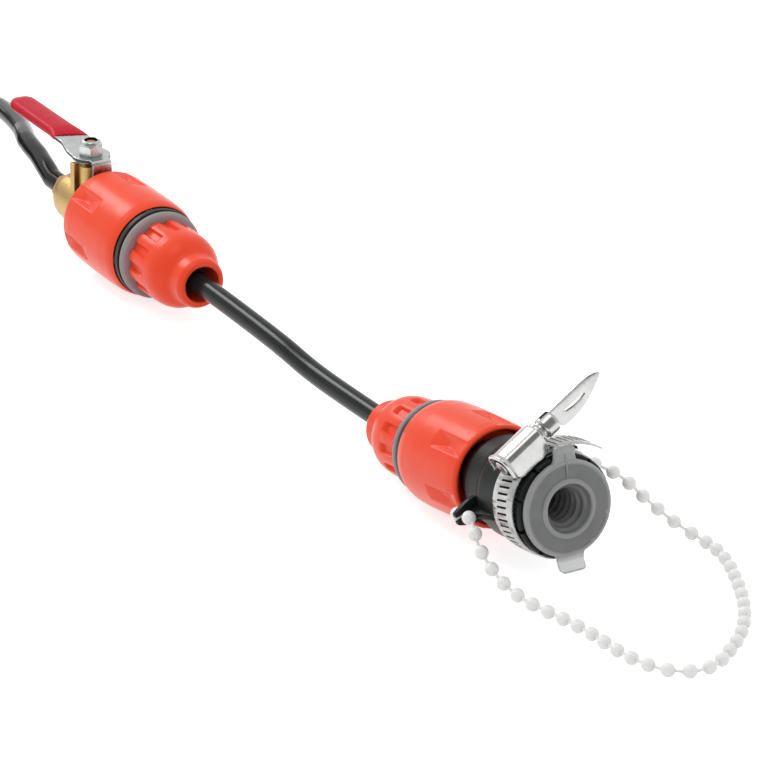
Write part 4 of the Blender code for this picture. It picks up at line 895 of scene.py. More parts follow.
# %% [markdown]
# ## The worm clamp
# The strip of a worm clamp is one long band with a row of slanted slots, which the screw's thread
# grips. Geometry Nodes make it: one short cell of strip with its slot is repeated along a straight
# line, the cells are joined, and the whole strip is then wrapped round a path. Working flat first and
# bending afterwards is also how the real band is made.

# %% Path of the strip
CUP_R = 18.2
BAND_Z = 79.0
BAND_T = 0.7


def band_radius(angle):
    """Middle of the strip: a ring, a step up over its own start, and a lifted tail."""
    inner = CUP_R + 0.3 + BAND_T / 2
    rise = BAND_T + 0.3
    if angle < 250.0:
        return inner
    if angle < 320.0:
        return inner + rise * (angle - 250.0) / 70.0
    if angle < 372.0:
        return inner + rise
    return inner + rise + 4.4 * ((angle - 372.0) / 66.0) ** 1.6


def band_path():
    """The strip starts under the housing and goes round the cup, then over itself to a free tail."""
    curve = bpy.data.curves.new("band_path", "CURVE")
    curve.dimensions = "3D"
    spline = curve.splines.new("POLY")
    spline.points.add(219)
    for i, point in enumerate(spline.points):
        angle = 438.0 * i / 219
        turn = math.radians(121.5 - angle)
        radius = band_radius(angle)
        place = TAP @ Vector((radius * math.cos(turn) * MM, radius * math.sin(turn) * MM, BAND_Z * MM))
        point.co = (*place, 1)
    made = bpy.data.objects.new("band_path", curve)
    scene.collection.objects.link(made)
    return made


# %% [markdown]
# A cell is 2.3 mm of strip. Its slot is slanted and its edges are turned up a little by the press that
# cut it. The cell is a plain mesh object, and the node tree takes it, the count and the pitch as inputs.

# %% Cell of strip
CELL = 2.3


def strip_cell():
    """A cell of strip, x along it, y across it and z through it, with a slanted slot."""
    half, thick, slant = 6.3, BAND_T / 2, 0.85
    xs = [0.0, 0.5, 0.75, 1.5, 1.75, CELL]
    ys = [-half, -half + 0.35, -3.3, -3.0, 3.0, 3.3, half - 0.35, half]
    mesh = bpy.data.meshes.new("strip_cell")
    bm = bmesh.new()
    grid = {}
    for k, sign in enumerate((1, -1)):
        for i, x in enumerate(xs):
            for j, y in enumerate(ys):
                lean = slant * max(-1.0, min(1.0, y / 3.3)) / 2 if 0 < i < 5 else 0.0
                edge = 0.12 if j in (0, 7) else 0.0
                lip = 0.12 if i in (1, 2, 3, 4) and 2 <= j <= 5 else 0.0
                grid[i, j, k] = bm.verts.new(((x + lean) * MM, y * MM, (sign * (thick - edge) + lip) * MM))
    for i in range(5):
        for j in range(7):
            if (i, j) != (2, 3):
                bm.faces.new([grid[i, j, 0], grid[i + 1, j, 0], grid[i + 1, j + 1, 0], grid[i, j + 1, 0]])
                bm.faces.new([grid[i, j, 1], grid[i, j + 1, 1], grid[i + 1, j + 1, 1], grid[i + 1, j, 1]])
    corners = [(2, 3), (3, 3), (3, 4), (2, 4)]
    for (a, b), (c, d) in zip(corners, corners[1:] + corners[:1]):
        bm.faces.new([grid[a, b, 0], grid[c, d, 0], grid[c, d, 1], grid[a, b, 1]])
    for i in range(5):
        for j, flip in ((0, 1), (7, -1)):
            quad = [grid[i, j, 0], grid[i, j, 1], grid[i + 1, j, 1], grid[i + 1, j, 0]]
            bm.faces.new(quad[::flip])
    bm.to_mesh(mesh)
    bm.free()
    made = bpy.data.objects.new("strip_cell", mesh)
    scene.collection.objects.link(made)
    return made


# %% Node tree that lays the cells along the path
def input_socket(tree, name, kind, value=None):
    socket = tree.interface.new_socket(name=name, in_out="INPUT", socket_type=kind)
    if value is not None:
        socket.default_value = value
    return socket.identifier


def start_tree(name):
    tree = bpy.data.node_groups.new(name, "GeometryNodeTree")
    tree.interface.new_socket(name="Geometry", in_out="INPUT", socket_type="NodeSocketGeometry")
    tree.interface.new_socket(name="Geometry", in_out="OUTPUT", socket_type="NodeSocketGeometry")
    return tree, tree.nodes.new("NodeGroupInput"), tree.nodes.new("NodeGroupOutput")


def grown(name, source, tree, values):
    """Runs a node tree on an object and returns the mesh. values maps socket identifiers to inputs."""
    modifier = source.modifiers.new("Nodes", "NODES")
    modifier.node_group = tree
    for identifier, value in values.items():
        modifier[identifier] = value
    return evaluated_mesh(source, name)


def band_tree(axis):
    """Repeats the cell along a line, joins the cells, then wraps the line round the path."""
    tree, given, result = start_tree("wrapped_strip")
    cell = input_socket(tree, "Cell", "NodeSocketObject")
    path = input_socket(tree, "Path", "NodeSocketObject")
    count = input_socket(tree, "Cell Count", "NodeSocketInt", 10)
    pitch = input_socket(tree, "Cell Pitch", "NodeSocketFloat", 0.002)
    finish = input_socket(tree, "Finish", "NodeSocketMaterial")
    offset = add_node(tree, "ShaderNodeCombineXYZ", {"X": given.outputs["Cell Pitch"]})
    line = add_node(
        tree, "GeometryNodeMeshLine", {"Count": given.outputs["Cell Count"], "Offset": offset.outputs[0]}
    )
    piece = add_node(tree, "GeometryNodeObjectInfo", {"Object": given.outputs["Cell"]})
    cells = add_node(
        tree, "GeometryNodeInstanceOnPoints",
        {"Points": line.outputs[0], "Instance": piece.outputs["Geometry"]}
    )
    real = add_node(tree, "GeometryNodeRealizeInstances", {"Geometry": cells.outputs[0]})
    joined = add_node(
        tree, "GeometryNodeMergeByDistance", {"Geometry": real.outputs[0]}, {"Distance": 0.00002}
    )
    place = add_node(tree, "GeometryNodeInputPosition")
    parts = add_node(tree, "ShaderNodeSeparateXYZ", {"Vector": place.outputs[0]})
    route = add_node(tree, "GeometryNodeObjectInfo", {"Object": given.outputs["Path"]})
    sample = add_node(
        tree,
        "GeometryNodeSampleCurve",
        {"Curves": route.outputs["Geometry"], "Length": parts.outputs["X"]},
        mode="LENGTH",
    )
    across = add_node(tree, "ShaderNodeCombineXYZ", inputs={"X": axis.x, "Y": axis.y, "Z": axis.z})
    outward = add_node(
        tree, "ShaderNodeVectorMath", {0: sample.outputs["Tangent"], 1: across.outputs[0]},
        operation="CROSS_PRODUCT"
    )
    side = add_node(
        tree, "ShaderNodeVectorMath", {0: across.outputs[0], "Scale": parts.outputs["Y"]}, operation="SCALE"
    )
    height = add_node(tree, "ShaderNodeMath", {0: parts.outputs["Z"]}, {1: -1.0}, operation="MULTIPLY")
    rise = add_node(
        tree, "ShaderNodeVectorMath", {0: outward.outputs[0], "Scale": height.outputs[0]}, operation="SCALE"
    )
    first = add_node(
        tree, "ShaderNodeVectorMath", {0: sample.outputs["Position"], 1: side.outputs[0]}, operation="ADD"
    )
    second = add_node(
        tree, "ShaderNodeVectorMath", {0: first.outputs[0], 1: rise.outputs[0]}, operation="ADD"
    )
    wrapped = add_node(
        tree, "GeometryNodeSetPosition", {"Geometry": joined.outputs[0], "Position": second.outputs[0]}
    )
    again = add_node(tree, "GeometryNodeRealizeInstances", {"Geometry": wrapped.outputs[0]})
    coated = add_node(
        tree, "GeometryNodeSetMaterial", {"Geometry": again.outputs[0], "Material": given.outputs["Finish"]}
    )
    tree.links.new(coated.outputs[0], result.inputs[0])
    return tree, {"cell": cell, "path": path, "count": count, "pitch": pitch, "finish": finish}


def make_band():
    path = band_path()
    cell = strip_cell()
    length = length_of([Vector(point.co[:3]) for point in path.data.splines[0].points])
    count = int(length / (CELL * MM))
    tree, sockets = band_tree(TAP.col[2].xyz)
    blank = bpy.data.objects.new("strip_blank", bpy.data.meshes.new("strip_blank"))
    scene.collection.objects.link(blank)
    values = {
        sockets["cell"]: cell,
        sockets["path"]: path,
        sockets["count"]: count,
        sockets["pitch"]: length / count,
        sockets["finish"]: STRIP,
    }
    for vertex in cell.data.vertices:
        vertex.co.x *= length / count / (CELL * MM)
    mesh = grown("clamp_strip", blank, tree, values)
    for helper in (path, cell):
        bpy.data.objects.remove(helper, do_unlink=True)
    bm = bmesh.new()
    bm.from_mesh(mesh)
    bmesh.ops.holes_fill(bm, edges=[e for e in bm.edges if e.is_boundary], sides=20)
    bm.to_mesh(mesh)
    bm.free()
    tidy(mesh, 40)
    print(count, "cells,", round(length / MM, 1), "mm of strip")
    return new_piece("clamp_strip", mesh, STRIP, "tap_head", "clamp_band")


make_band()

# %% [markdown]
# The housing is a saddle of thin sheet, bent over the screw: round at the back, flat towards the mouth,
# where a skirt with cut-off corners reaches down over the strip's edge. Its outline is drawn at several
# stations along the screw and the outlines are joined, so the skirt can change and the open end can
# roll out into a lip.

# %% Housing
def saddle(inset, skirt, flare):
    """Outline across the screw, x towards the sleeve and y outwards, from the skirt to the back foot."""
    grow = flare - inset
    front, back, top = 6.9 + grow, 6.1 + grow, 5.5 + grow
    corner = 2.6 + grow
    points = [(-front, skirt), (-front, (skirt + top - corner) / 2), (-front, top - corner)]
    for a in np.linspace(0.15, math.pi / 2, 6):
        points.append((-front + corner * (1 - math.cos(a)), top - corner * (1 - math.sin(a))))
    for a in np.linspace(0.0, math.pi / 2, 15):
        points.append((-1.2 + (back + 1.2) * math.sin(a), -0.4 + (top + 0.4) * math.cos(a)))
    return points + [(back, -1.4), (back + 0.35, -2.3), (back + 0.8, -2.8)]


def make_housing():
    half, sheet = 8.45, 0.8
    stations = [
        (-half - 0.15, 0.25), (-half, 0.5), (-half + 0.25, 0.62), (-half + 0.55, 0.62), (-half + 1.0, 0.4)
    ]
    stations += [
        (-half + 1.6, 0.08), (-half + 2.2, 0.0), (-half + 3.4, 0.0), (-4.0, 0.0), (0.0, 0.0), (4.0, 0.0)
    ]
    stations += [(half - 3.4, 0.0), (half - 1.0, 0.0), (half - 0.25, 0.0), (half, -0.12)]
    rows = []
    for z, flare in stations:
        skirt = -4.3 + max(0.0, abs(z) - half + 3.4) * 0.75
        thick = sheet + 0.5 * flare - (0.35 if abs(z) > half - 0.05 else 0.0)
        inner = saddle(thick, skirt, flare)
        rows.append(
            [SCREW @ Vector((x * MM, y * MM, z * MM)) for x, y in saddle(0.0, skirt, flare) + inner[::-1]]
        )
    mesh = joined_rows("clamp_saddle", rows, 32)
    return new_piece("clamp_saddle", mesh, STEEL, "tap_head", "clamp_housing")


make_housing()

# %% [markdown]
# The worm screw has a real helical thread, made by the same kind of rule as the insert's. Its head is a
# collar and a slotted barrel, and a pressed leaf stands in the slot so that no tool is needed.

# %% Screw and leaf
def worm(angle, radius, z):
    wave = np.clip(1.6 * np.sin(2 * np.pi * (z / 3.5 - angle / (2 * np.pi))), -1, 1)
    return np.where((radius > 2.5) & (z < 8.0) & (z > -7.9), radius - 0.36 + 0.36 * wave, radius)


def make_screw():
    profile = [(0.0, 17.55), (3.1, 17.55), (3.85, 16.9), (4.0, 16.0), (4.0, 12.4), (3.7, 11.8), (3.2, 11.6)]
    profile += [
        (3.2, 10.6), (4.1, 10.3), (4.3, 9.9), (4.3, 9.1), (4.0, 8.75), (2.8, 8.75), (2.8, -8.2), (0.0, -8.2)
    ]
    mesh = turned("clamp_worm", filled(eased(profile, 0.35, closed=False), 0.4), SCREW, 64, worm, 40)
    slot = block((1.6, 14.4, 5.0), SCREW @ shift(0, 0, 15.55))
    mesh = combined(mesh, [("DIFFERENCE", slot)], 38)
    # painted shade: the walls of the head's slot are marked to be coloured dark
    mark(
        mesh, "cut_edge", lambda x, y, z: 13.0 < z < 17.3 and abs(x) < 0.85 and math.hypot(x, y) < 3.8, SCREW
    )
    return new_piece("clamp_worm", mesh, STEEL, "screw", "clamp_screw")


def leaf_outline():
    low, base, tip = -3.0, 13.35, 40.3
    loop = [
        (low, base), (low, tip - 7.0), (low + 0.3, tip - 4.0), (low + 1.0, tip - 1.4), (low + 1.9, tip - 0.1)
    ]
    for i in range(1, 25):
        share = i / 25
        z = tip - share * (tip - base - 5.0)
        loop.append((low + 2.2 + 5.9 * math.sin(math.pi * (share * 0.62 + 0.02)), z))
    loop += [(3.0, base + 4.2), (3.0, base)]
    slot = [
        (low + 3.1, base + 8.4), (low + 4.1, base + 9.4), (low + 4.6, base + 12.5), (low + 4.5, base + 16.0)
    ]
    slot += [(low + 4.0, base + 18.4), (low + 3.3, base + 18.0), (low + 3.45, base + 13.0)]
    return [[(-x, z) for x, z in points] for points in (loop, slot)]


make_screw()
upright = SCREW @ spin(90.0, "Y") @ spin(90.0, "Z")
leaf = pressed("clamp_leaf", leaf_outline(), 1.1, 0.15, upright, cut_edge=True)
new_piece("clamp_leaf", leaf, STEEL, "screw", "clamp_wing")

# %% [markdown]
# ## The ball valve
# The brass body was cast and turned, with a boss for the stem on top. Its tail has a hexagon for a
# spanner and a barb for the hose. A black nipple joins it to the connector.

# %% Valve body, tail and nipple
def make_valve_body():
    profile = [(8.4, 73.0), (9.1, 72.0), (9.9, 69.5), (10.3, 66.0)]
    for i in range(9):
        turn = math.pi * (0.45 + 0.37 * i / 8)
        profile.append((10.3 * math.sin(turn), 56.5 + 9.27 * math.cos(turn)))
    profile += [(6.3, 45.9), (6.3, 43.5), (3.5, 43.5), (3.5, 49.8), (7.6, 49.8), (7.6, 73.0)]
    body = turned("valve_casting", eased(profile, 0.5), VALVE, 112)
    collar = [(6.1, 18.5), (6.1, 9.6), (6.7, 8.6), (1.0, 8.6), (1.0, 15.0), (5.7, 15.0), (5.7, 18.5)]
    boss = turned("boss", eased(collar, 0.3), LEVER, 64)
    stop = bevelled(block((2.6, 3.5, 11.4), LEVER @ shift(7.0, -0.45, 13.7)), 0.4)
    return new_piece(
        "valve_casting", combined(body, [("UNION", boss), ("UNION", stop)], 38), BRASS, "hose_line",
        "valve_body"
    )


def bevelled(mesh, width):
    """The same mesh with every edge rounded by the given millimetres."""
    bm = bmesh.new()
    bm.from_mesh(mesh)
    bmesh.ops.bevel(bm, geom=bm.edges[:], offset=width * MM, segments=3, affect="EDGES", profile=0.5)
    bm.to_mesh(mesh)
    bm.free()
    return mesh


make_valve_body()


def make_tail():
    profile = [
        (1.5, 87.8), (2.35, 87.8), (2.35, 79.3), (5.0, 79.3), (5.0, 73.3), (7.3, 73.3), (7.3, 63.2),
        (3.5, 63.2)
    ]
    profile += [(3.5, 77.8), (1.5, 79.8)]
    tail = turned("valve_tailpiece", eased(profile, 0.3), VALVE, 64)
    hexagon = hex_mesh(6.8, 73.3, 77.8, 4.6, VALVE)
    return new_piece(
        "valve_tailpiece", combined(tail, [("UNION", hexagon)], 35), BRASS, "hose_line", "valve_tail"
    )


def hex_mesh(radius, low, high, bore, place):
    """A chamfered hexagon, as a turned ring whose radius is cut back to six flats."""

    def six(angle, r, z):
        turn = (np.degrees(angle) + 30) % 60 - 30
        flat = radius * math.cos(math.pi / 6) / np.cos(np.radians(30 - np.abs(turn)))
        return np.where(r > bore + 0.4, np.minimum(r, flat), r)

    chamfer = radius * 0.07
    profile = [
        (radius - chamfer, high), (radius, high - chamfer), (radius, low + chamfer), (radius - chamfer, low)
    ]
    profile += [(bore, low), (bore, high)]
    return turned("hexagon", filled(profile, 0.6), place, 120, six, 25)


make_tail()


def make_nipple():
    profile = [(11.0, 45.6), (11.0, 40.6), (7.8, 40.6), (7.8, 35.1), (6.8, 35.1), (6.8, 30.9), (7.8, 30.9)]
    profile += [(7.8, 26.45), (5.8, 26.45), (5.8, 24.55), (7.8, 24.55), (7.8, 21.5), (6.8, 20.0), (3.5, 20.0)]
    profile += [(3.5, 42.6), (6.6, 42.6), (6.6, 45.6)]
    mesh = turned("valve_adaptor", eased(profile, 0.4), VALVE, 96)
    return new_piece("valve_adaptor", mesh, BLACK, "hose_line", "valve_nipple")


make_nipple()

# %% [markdown]
# The lever is one flat blank: a round head, an arm and a stop at the front. The blank is pressed flat
# with rounded edges, then bent like the real one. The stop folds down at a right angle, and the arm
# steps up so that it clears the hose. A dipped grip covers the arm, and a nut holds the head.

# %% Lever
LEVER_Y = 20.6
PLATE_T = 1.6
ARM_RISE = 1.8
ARM_Y = LEVER_Y + ARM_RISE + PLATE_T / 2


def root_edge(x):
    """Distance from the stem to the grip's slanted, hollow root, at a place across the arm."""
    return 13.5 + 5.5 * (x + 6.2) / 12.4 + 1.1 * (1 - (x / 6.6) ** 2)


def lever_blank():
    """Outline of the blank from above, with the stop along +y and the arm along -y."""
    head, stop, arm, root = 7.6, 4.2, 3.7, 6.2
    fold = 9.2 + 6.6
    loop = [(arm, -58.0)]
    loop += [(x, 0.15 - root_edge(x)) for x in np.linspace(arm, root, 5)] + [(root, -13.6)]
    loop += [(head * math.cos(a), head * math.sin(a)) for a in np.linspace(-0.3, 1.0, 16)]
    loop += [(stop, 7.4), (stop, fold), (-stop, fold), (-stop, 7.4)]
    loop += [(head * math.cos(a), head * math.sin(a)) for a in np.linspace(math.pi - 1.0, math.pi + 0.5, 16)]
    loop += [(-x, 0.15 - root_edge(-x)) for x in np.linspace(root, arm, 5)] + [(-arm, -58.0)]
    return loop


def bent(point):
    """The stop's fold and the arm's step, for a point of the flat blank in millimetres."""
    x, y, z = point
    edge, radius = 7.9, 0.9
    if y > edge:
        run = y - edge
        quarter = radius * math.pi / 2
        if run < quarter:
            turn = run / radius
            return x, edge + (radius + z) * math.sin(turn), z * math.cos(turn) - radius * (1 - math.cos(turn))
        return x, edge + radius + z, -radius - (run - quarter)
    share = min(1.0, max(0.0, (-6.4 - y) / 8.0))
    return x, y, z + ARM_RISE * share * share * (3 - 2 * share)


def make_lever():
    hole = [(1.9 * math.cos(a), 1.9 * math.sin(a)) for a in np.linspace(0, 2 * math.pi, 24, endpoint=False)]
    mesh = pressed("lever_blank", [lever_blank(), hole], PLATE_T, 0.3, Matrix.Identity(4), cut_edge=True)
    bm = bmesh.new()
    bm.from_mesh(mesh)
    for y in [7.9 + 0.16 * i for i in range(10)] + [-6.4 - 0.8 * i for i in range(11)]:
        bmesh.ops.bisect_plane(
            bm, geom=bm.verts[:] + bm.edges[:] + bm.faces[:], plane_co=(0, y * MM, 0), plane_no=(0, 1, 0),
            dist=1e-7
        )
    for vertex in bm.verts:
        moved = bent([c / MM for c in vertex.co])
        vertex.co = Vector(moved) * MM + Vector((0, 0, (LEVER_Y + PLATE_T / 2) * MM))
    bmesh.ops.transform(bm, matrix=LEVER, verts=bm.verts)
    bm.to_mesh(mesh)
    bm.free()
    tidy(mesh, 40)
    return new_piece("lever_blank", mesh, ZINC, "lever", "lever_plate")


make_lever()


def make_grip():
    """Oval sections along the arm: a thin slanted root, a long body and a round end."""
    stations = []
    for i in range(71):
        y = 13.5 + 49.6 * i / 70
        swell = min(1.0, (y - 13.5) / 12.5)
        ending = max(0.0, (y - 57.3) / 5.8)
        dome = max(0.02, math.sqrt(max(0.0, 1 - min(1.0, ending) ** 2)))
        half = (6.45 - 0.95 * swell * swell * (3 - 2 * swell) - 0.25 * i / 70) * dome
        thick = (1.25 + 1.25 * swell * (2 - swell)) * (0.25 + 0.75 * dome if dome > 0.02 else 0.02)
        stations.append((y, half, thick))
    sides = 48
    rows = []
    for y, half, thick in stations:
        fade = max(0.0, 1 - (y - 13.5) / 16.0)
        rows.append([])
        for k in range(sides):
            c, s = math.cos(2 * math.pi * k / sides), math.sin(2 * math.pi * k / sides)
            x = half * math.copysign(abs(c) ** 0.62, c)
            z = thick * math.copysign(abs(s) ** 0.72, s)
            root = (root_edge(x) - 13.5) * fade
            rows[-1].append(LEVER @ Vector((x * MM, -(y + root) * MM, (ARM_Y + z) * MM)))
    mesh = joined_rows("lever_dip", rows)
    pocket = block((7.6, 48.0, 1.8), LEVER @ shift(0, -35.3, ARM_Y))
    return new_piece("lever_dip", combined(mesh, [("DIFFERENCE", pocket)], 45), RED, "lever", "lever_grip")


make_grip()


def make_lever_nut():
    """A hexagon with a domed crown, whose socket is coloured dark as painted shade, like the sheet edges."""
    base = LEVER_Y + 1.7
    hexagon = hex_mesh(5.15, base, base + 4.0, 2.1, LEVER)
    dome = [(4.3, base + 3.7), (4.2, base + 4.5), (3.7, base + 5.4), (3.0, base + 5.8), (2.6, base + 5.6)]
    crown = turned("crown", eased(dome + [(2.6, base + 3.4), (2.2, base + 3.4)], 0.3), LEVER, 64)
    mesh = combined(hexagon, [("UNION", crown)], 35)
    # painted shade: the socket inside the crown is marked to be coloured dark
    mark(mesh, "cut_edge", lambda x, y, z: z > base + 3.2 and math.hypot(x, y) < 2.63, LEVER)
    return new_piece("lever_hexagon", mesh, ZINC, "lever", "lever_nut")


make_lever_nut()

# %% [markdown]
# ## The bead chain
# Polystyrene beads are moulded onto a thread at an even spacing, so the chain bends only between them.
# Geometry Nodes place one bead on each point of the route, resampled to that spacing, and a thin round
# thread joins them.

# %% Chain
def chain_route():
    points = [(70, -24.6, 14.2), (77, -24.8, 9.6), (86, -24.2, 5.6), (96, -22.5, 3.2), (107, -20, 2.5)]
    points += [(119, -17.6, 2.5), (131.5, -16, 2.5), (145, -15.5, 2.5), (158, -13.5, 2.5), (168, -8.5, 2.5)]
    points += [(173, 0, 2.5), (170.5, 9.5, 2.5), (164, 18.5, 2.5), (156, 27.5, 2.5), (146.5, 35.2, 2.5)]
    points += [
        (135.6, 42, 2.5), (125, 47.3, 2.5), (114, 52, 2.5), (103, 56, 2.5), (92.6, 58, 2.5), (82, 57.6, 2.7)
    ]
    points += [(74, 53.5, 6.0), (69.5, 45.5, 14), (66.5, 35, 25)]
    near = [lug(-1) @ Vector((23.5 * MM, 0, dz * MM)) for dz in (-6.25, 0, 6.0)]
    far = [lug(1) @ Vector((23.5 * MM, 0, dz * MM)) for dz in (6.0, 0, -6.25)]
    return smooth_route(near + on_kit(points) + far, 1.0 * MM)


def poly_curve(name, points):
    curve = bpy.data.curves.new(name, "CURVE")
    curve.dimensions = "3D"
    spline = curve.splines.new("POLY")
    spline.points.add(len(points) - 1)
    for target, place in zip(spline.points, points):
        target.co = (*place, 1)
    made = bpy.data.objects.new(name, curve)
    scene.collection.objects.link(made)
    return made


def bead_tree():
    tree, given, result = start_tree("beads_on_a_thread")
    count = input_socket(tree, "Bead Count", "NodeSocketInt", 10)
    bead = input_socket(tree, "Bead Radius", "NodeSocketFloat", 0.0025)
    thread = input_socket(tree, "Thread Radius", "NodeSocketFloat", 0.0006)
    finish = input_socket(tree, "Finish", "NodeSocketMaterial")
    marks = add_node(
        tree, "GeometryNodeResampleCurve",
        {"Curve": given.outputs["Geometry"], "Count": given.outputs["Bead Count"]}
    )
    ball = add_node(
        tree, "GeometryNodeMeshUVSphere", {"Radius": given.outputs["Bead Radius"]},
        {"Segments": 20, "Rings": 12}
    )
    ahead = add_node(tree, "GeometryNodeInputTangent")
    turn = add_node(tree, "FunctionNodeAlignRotationToVector", {"Vector": ahead.outputs[0]}, axis="Z")
    beads = add_node(
        tree,
        "GeometryNodeInstanceOnPoints",
        {"Points": marks.outputs[0], "Instance": ball.outputs[0], "Rotation": turn.outputs[0]},
        {"Scale": (1.0, 1.0, 1.06)},
    )
    ring = add_node(
        tree, "GeometryNodeCurvePrimitiveCircle", {"Radius": given.outputs["Thread Radius"]},
        {"Resolution": 8}
    )
    core = add_node(
        tree, "GeometryNodeCurveToMesh",
        {"Curve": given.outputs["Geometry"], "Profile Curve": ring.outputs[0]}
    )
    core.inputs["Fill Caps"].default_value = True
    joined = add_node(tree, "GeometryNodeJoinGeometry", {"Geometry": beads.outputs[0]})
    tree.links.new(core.outputs[0], joined.inputs[0])
    real = add_node(tree, "GeometryNodeRealizeInstances", {"Geometry": joined.outputs[0]})
    coated = add_node(
        tree, "GeometryNodeSetMaterial", {"Geometry": real.outputs[0], "Material": given.outputs["Finish"]}
    )
    tree.links.new(coated.outputs[0], result.inputs[0])
    return tree, {"count": count, "bead": bead, "thread": thread, "finish": finish}


chain_line = chain_route()
chain_length = length_of(chain_line)
bead_count = round((chain_length - 5.0 * MM) / (7.5 * MM)) + 1


def make_chain():
    end = 2.4 * MM
    trimmed = [
        point for i, point in enumerate(chain_line)
        if end < length_of(chain_line[: i + 1]) < chain_length - end
    ]
    tree, sockets = bead_tree()
    values = {
        sockets["count"]: bead_count,
        sockets["bead"]: 2.5 * MM,
        sockets["thread"]: 0.6 * MM,
        sockets["finish"]: WHITE,
    }
    mesh = grown("bead_chain", poly_curve("chain_line", trimmed), tree, values)
    mesh.shade_smooth()
    print(bead_count, "beads on", round(chain_length / MM, 1), "mm")
    return new_piece("bead_chain", mesh, WHITE, "tap_head", "safety_chain")


chain = make_chain()

# %% [markdown]
# ## The stored end
# Two nylon ties hold the coil, each a flat strap that goes once round the bundle with its end lapped
# over. The hose ends in a small turned jet with a knurled collar, which goes into the waste hose.

# %% Ties and jet
def make_tie(number, degrees):
    half = (HALF_BAND + HOSE_R) / MM + COIL_PITCH / MM / 8 + 0.3
    low = COIL_LOW / MM - 4.3
    high = low + 8.6 + 3 * COIL_PITCH / MM
    near = -half - 0.7

    def loop(grow, corner):
        corners = [
            (half + grow, low - grow), (half + grow, high + grow), (near - grow, high + grow),
            (near - grow, low - grow)
        ]
        return eased(corners, corner, steps=8)

    count = 12.0
    outline = [loop(0.97, 3.4), loop(0.03, 2.6)]
    turn = Matrix.Rotation(math.radians(degrees), 4, "Z")
    spot = COIL_CENTRE + turn @ Vector((COIL_R, 0, 0))
    place = Matrix.Translation(spot) @ turn @ spin(90.0, "X")
    mesh = pressed(f"tie_{number}", outline, count, 0.25, place)
    return new_piece(f"tie_{number}", mesh, STRAP, "hose_line", f"hose_tie_{number}")


ties = [make_tie(1, 190.0), make_tie(2, 330.0)]


def knurled(angle, radius, z):
    band = (radius > 3.9) & (((z > 11.2) & (z < 15.8)) | ((z > 0.6) & (z < 5.0)))
    return np.where(band, radius - 0.16 * (1 + np.sin(28 * angle)), radius)


def make_jet():
    place = Matrix.Translation(coil_line[-1]) @ heading.to_track_quat("Z", "Y").to_matrix().to_4x4()
    profile = [
        (1.9, 26.0), (2.8, 24.0), (3.2, 18.0), (4.2, 16.0), (4.2, 11.0), (3.3, 9.5), (3.3, 6.3), (4.2, 5.3)
    ]
    profile += [(4.2, 0.3), (1.0, 0.3), (1.0, 26.0)]
    mesh = turned("hose_jet", filled(eased(profile, 0.4), 0.5), place, 168, knurled)
    return new_piece("hose_jet", mesh, BRASS, "hose_line", "jet_nozzle")


jet = make_jet()

# %% [markdown]
# ## Inner pieces
# Claws, springs, seals, collets and the valve's ball keep the shapes that the CAD gave them, because
# they are hidden or nearly so. Each only swaps its plain colour for the finish of its real material.

# %% Finishes of the inner pieces
FINISH_OF = {
    "steel": STEEL, "stainless_steel": STEEL, "brass": BRASS, "ptfe": PTFE, "nitrile_rubber": SEAL,
    "dark_acetal": DARK, "zinc_plated_steel": ZINC, "black_abs": BLACK,
}
kept = [obj for obj in frame["nodes"].values() if not obj.hide_render]
for obj in kept:
    for slot in obj.material_slots:
        slot.material = FINISH_OF[slot.material.name.split(".")[0]]
print("kept from the CAD:", ", ".join(sorted(obj.name for obj in kept)))

# %% [markdown]
# ## The stage
# A pale floor, a studio world and two lamps light the kit.

# %% Stage
def join(tree, operation, first, second):
    """A maths node on two outputs or numbers."""
    made = tree.nodes.new("ShaderNodeMath")
    made.operation = operation
    for socket, value in zip(made.inputs, (first, second)):
        if isinstance(value, (int, float)):
            socket.default_value = value
        else:
            tree.links.new(value, socket)
    return made.outputs[0]


def seen_directly(tree):
    """1 for what the camera sees or what clear plastic lets through, and the same with reflections."""
    rays = add_node(tree, "ShaderNodeLightPath")
    eye = join(tree, "MAXIMUM", rays.outputs["Is Camera Ray"], rays.outputs["Is Transmission Ray"])
    return eye, join(tree, "MAXIMUM", eye, rays.outputs["Is Glossy Ray"])


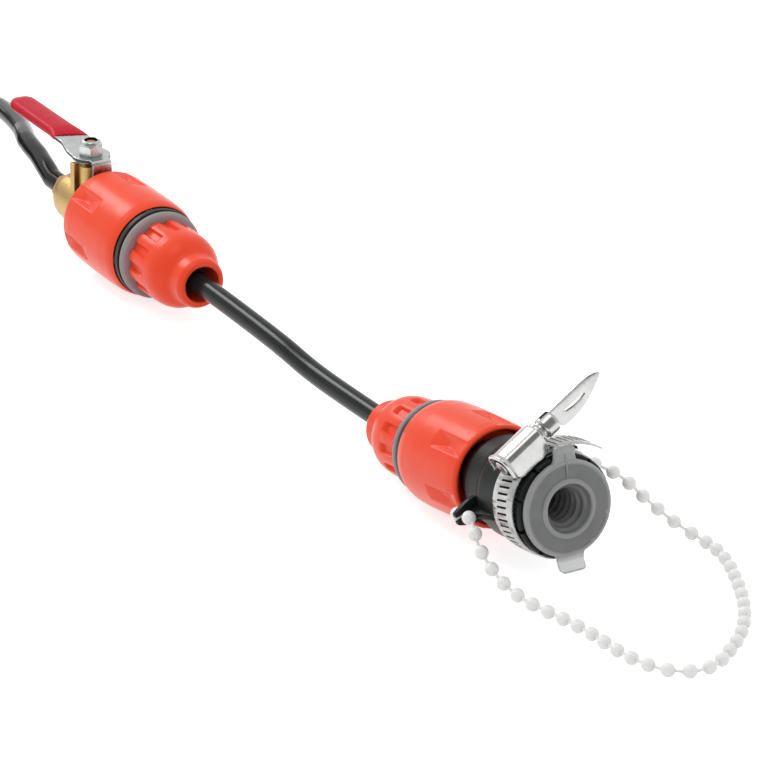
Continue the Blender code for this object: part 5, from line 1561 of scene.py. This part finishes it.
def make_floor():
    mesh = bpy.data.meshes.new("floor")
    mesh.from_pydata(
        [(-4, -4, -0.0004), (4, -4, -0.0004), (4, 4, -0.0004), (-4, 4, -0.0004)], [], [(0, 1, 2, 3)]
    )
    floor = bpy.data.objects.new("floor", mesh)
    scene.collection.objects.link(floor)
    finish = bpy.data.materials.new("pale_floor")
    finish.use_nodes = True
    tree = finish.node_tree
    shader = tree.nodes["Principled BSDF"]
    shader.inputs["Base Color"].default_value = linear("F2F2F2")
    shader.inputs["Roughness"].default_value = 0.7
    shader.inputs["Emission Color"].default_value = (1, 1, 1, 1)
    tree.links.new(
        join(tree, "MULTIPLY", seen_directly(tree)[1], FLOOR_GLOW), shader.inputs["Emission Strength"]
    )
    mesh.materials.append(finish)


def make_sky():
    sky = bpy.data.worlds.new("studio")
    sky.use_nodes = True
    scene.world = sky
    tree = sky.node_tree
    shade = tree.nodes["Background"]
    shade.inputs["Color"].default_value = (1, 1, 1, 1)
    ray = add_node(tree, "ShaderNodeTexCoord")
    cloth = add_node(tree, "ShaderNodeVectorMath", {0: ray.outputs["Generated"]}, operation="DOT_PRODUCT")
    cloth.inputs[1].default_value = (0.777, -0.48, 0.405)
    dim = add_node(
        tree, "ShaderNodeMapRange", {"Value": cloth.outputs["Value"]}, interpolation_type="SMOOTHSTEP"
    )
    for socket, value in (("From Min", 0.3), ("From Max", 0.8), ("To Min", 1.0), ("To Max", CLOTH)):
        dim.inputs[socket].default_value = value
    eye, seen = seen_directly(tree)
    level = join(tree, "ADD", join(tree, "MULTIPLY", seen, 1.0 - SKY), SKY)
    glossy = join(tree, "SUBTRACT", seen, eye)
    share = join(tree, "MAXIMUM", dim.outputs[0], join(tree, "SUBTRACT", 1.0, glossy))
    tree.links.new(join(tree, "MULTIPLY", level, share), shade.inputs["Strength"])


def lamp(name, direction, distance, size, power):
    data = bpy.data.lights.new(name, "AREA")
    data.shape = "RECTANGLE"
    data.size, data.size_y = size
    data.energy = power
    made = bpy.data.objects.new(name, data)
    away = Vector(direction).normalized()
    made.location = centre_of("connector_core_tap") + away * distance
    made.rotation_euler = (-away).to_track_quat("-Z", "Y").to_euler()
    scene.collection.objects.link(made)


SKY, CLOTH, FLOOR_GLOW = 0.75, 0.3, 0.7
make_floor()
make_sky()
lamp("softbox", (-0.8, -0.15, 0.56), 1.8, (0.6, 0.35), 7.0)
lamp("top_lamp", (0.05, -0.25, 1.0), 1.7, (0.9, 0.9), 4.5)
scene.view_settings.view_transform = "Standard"
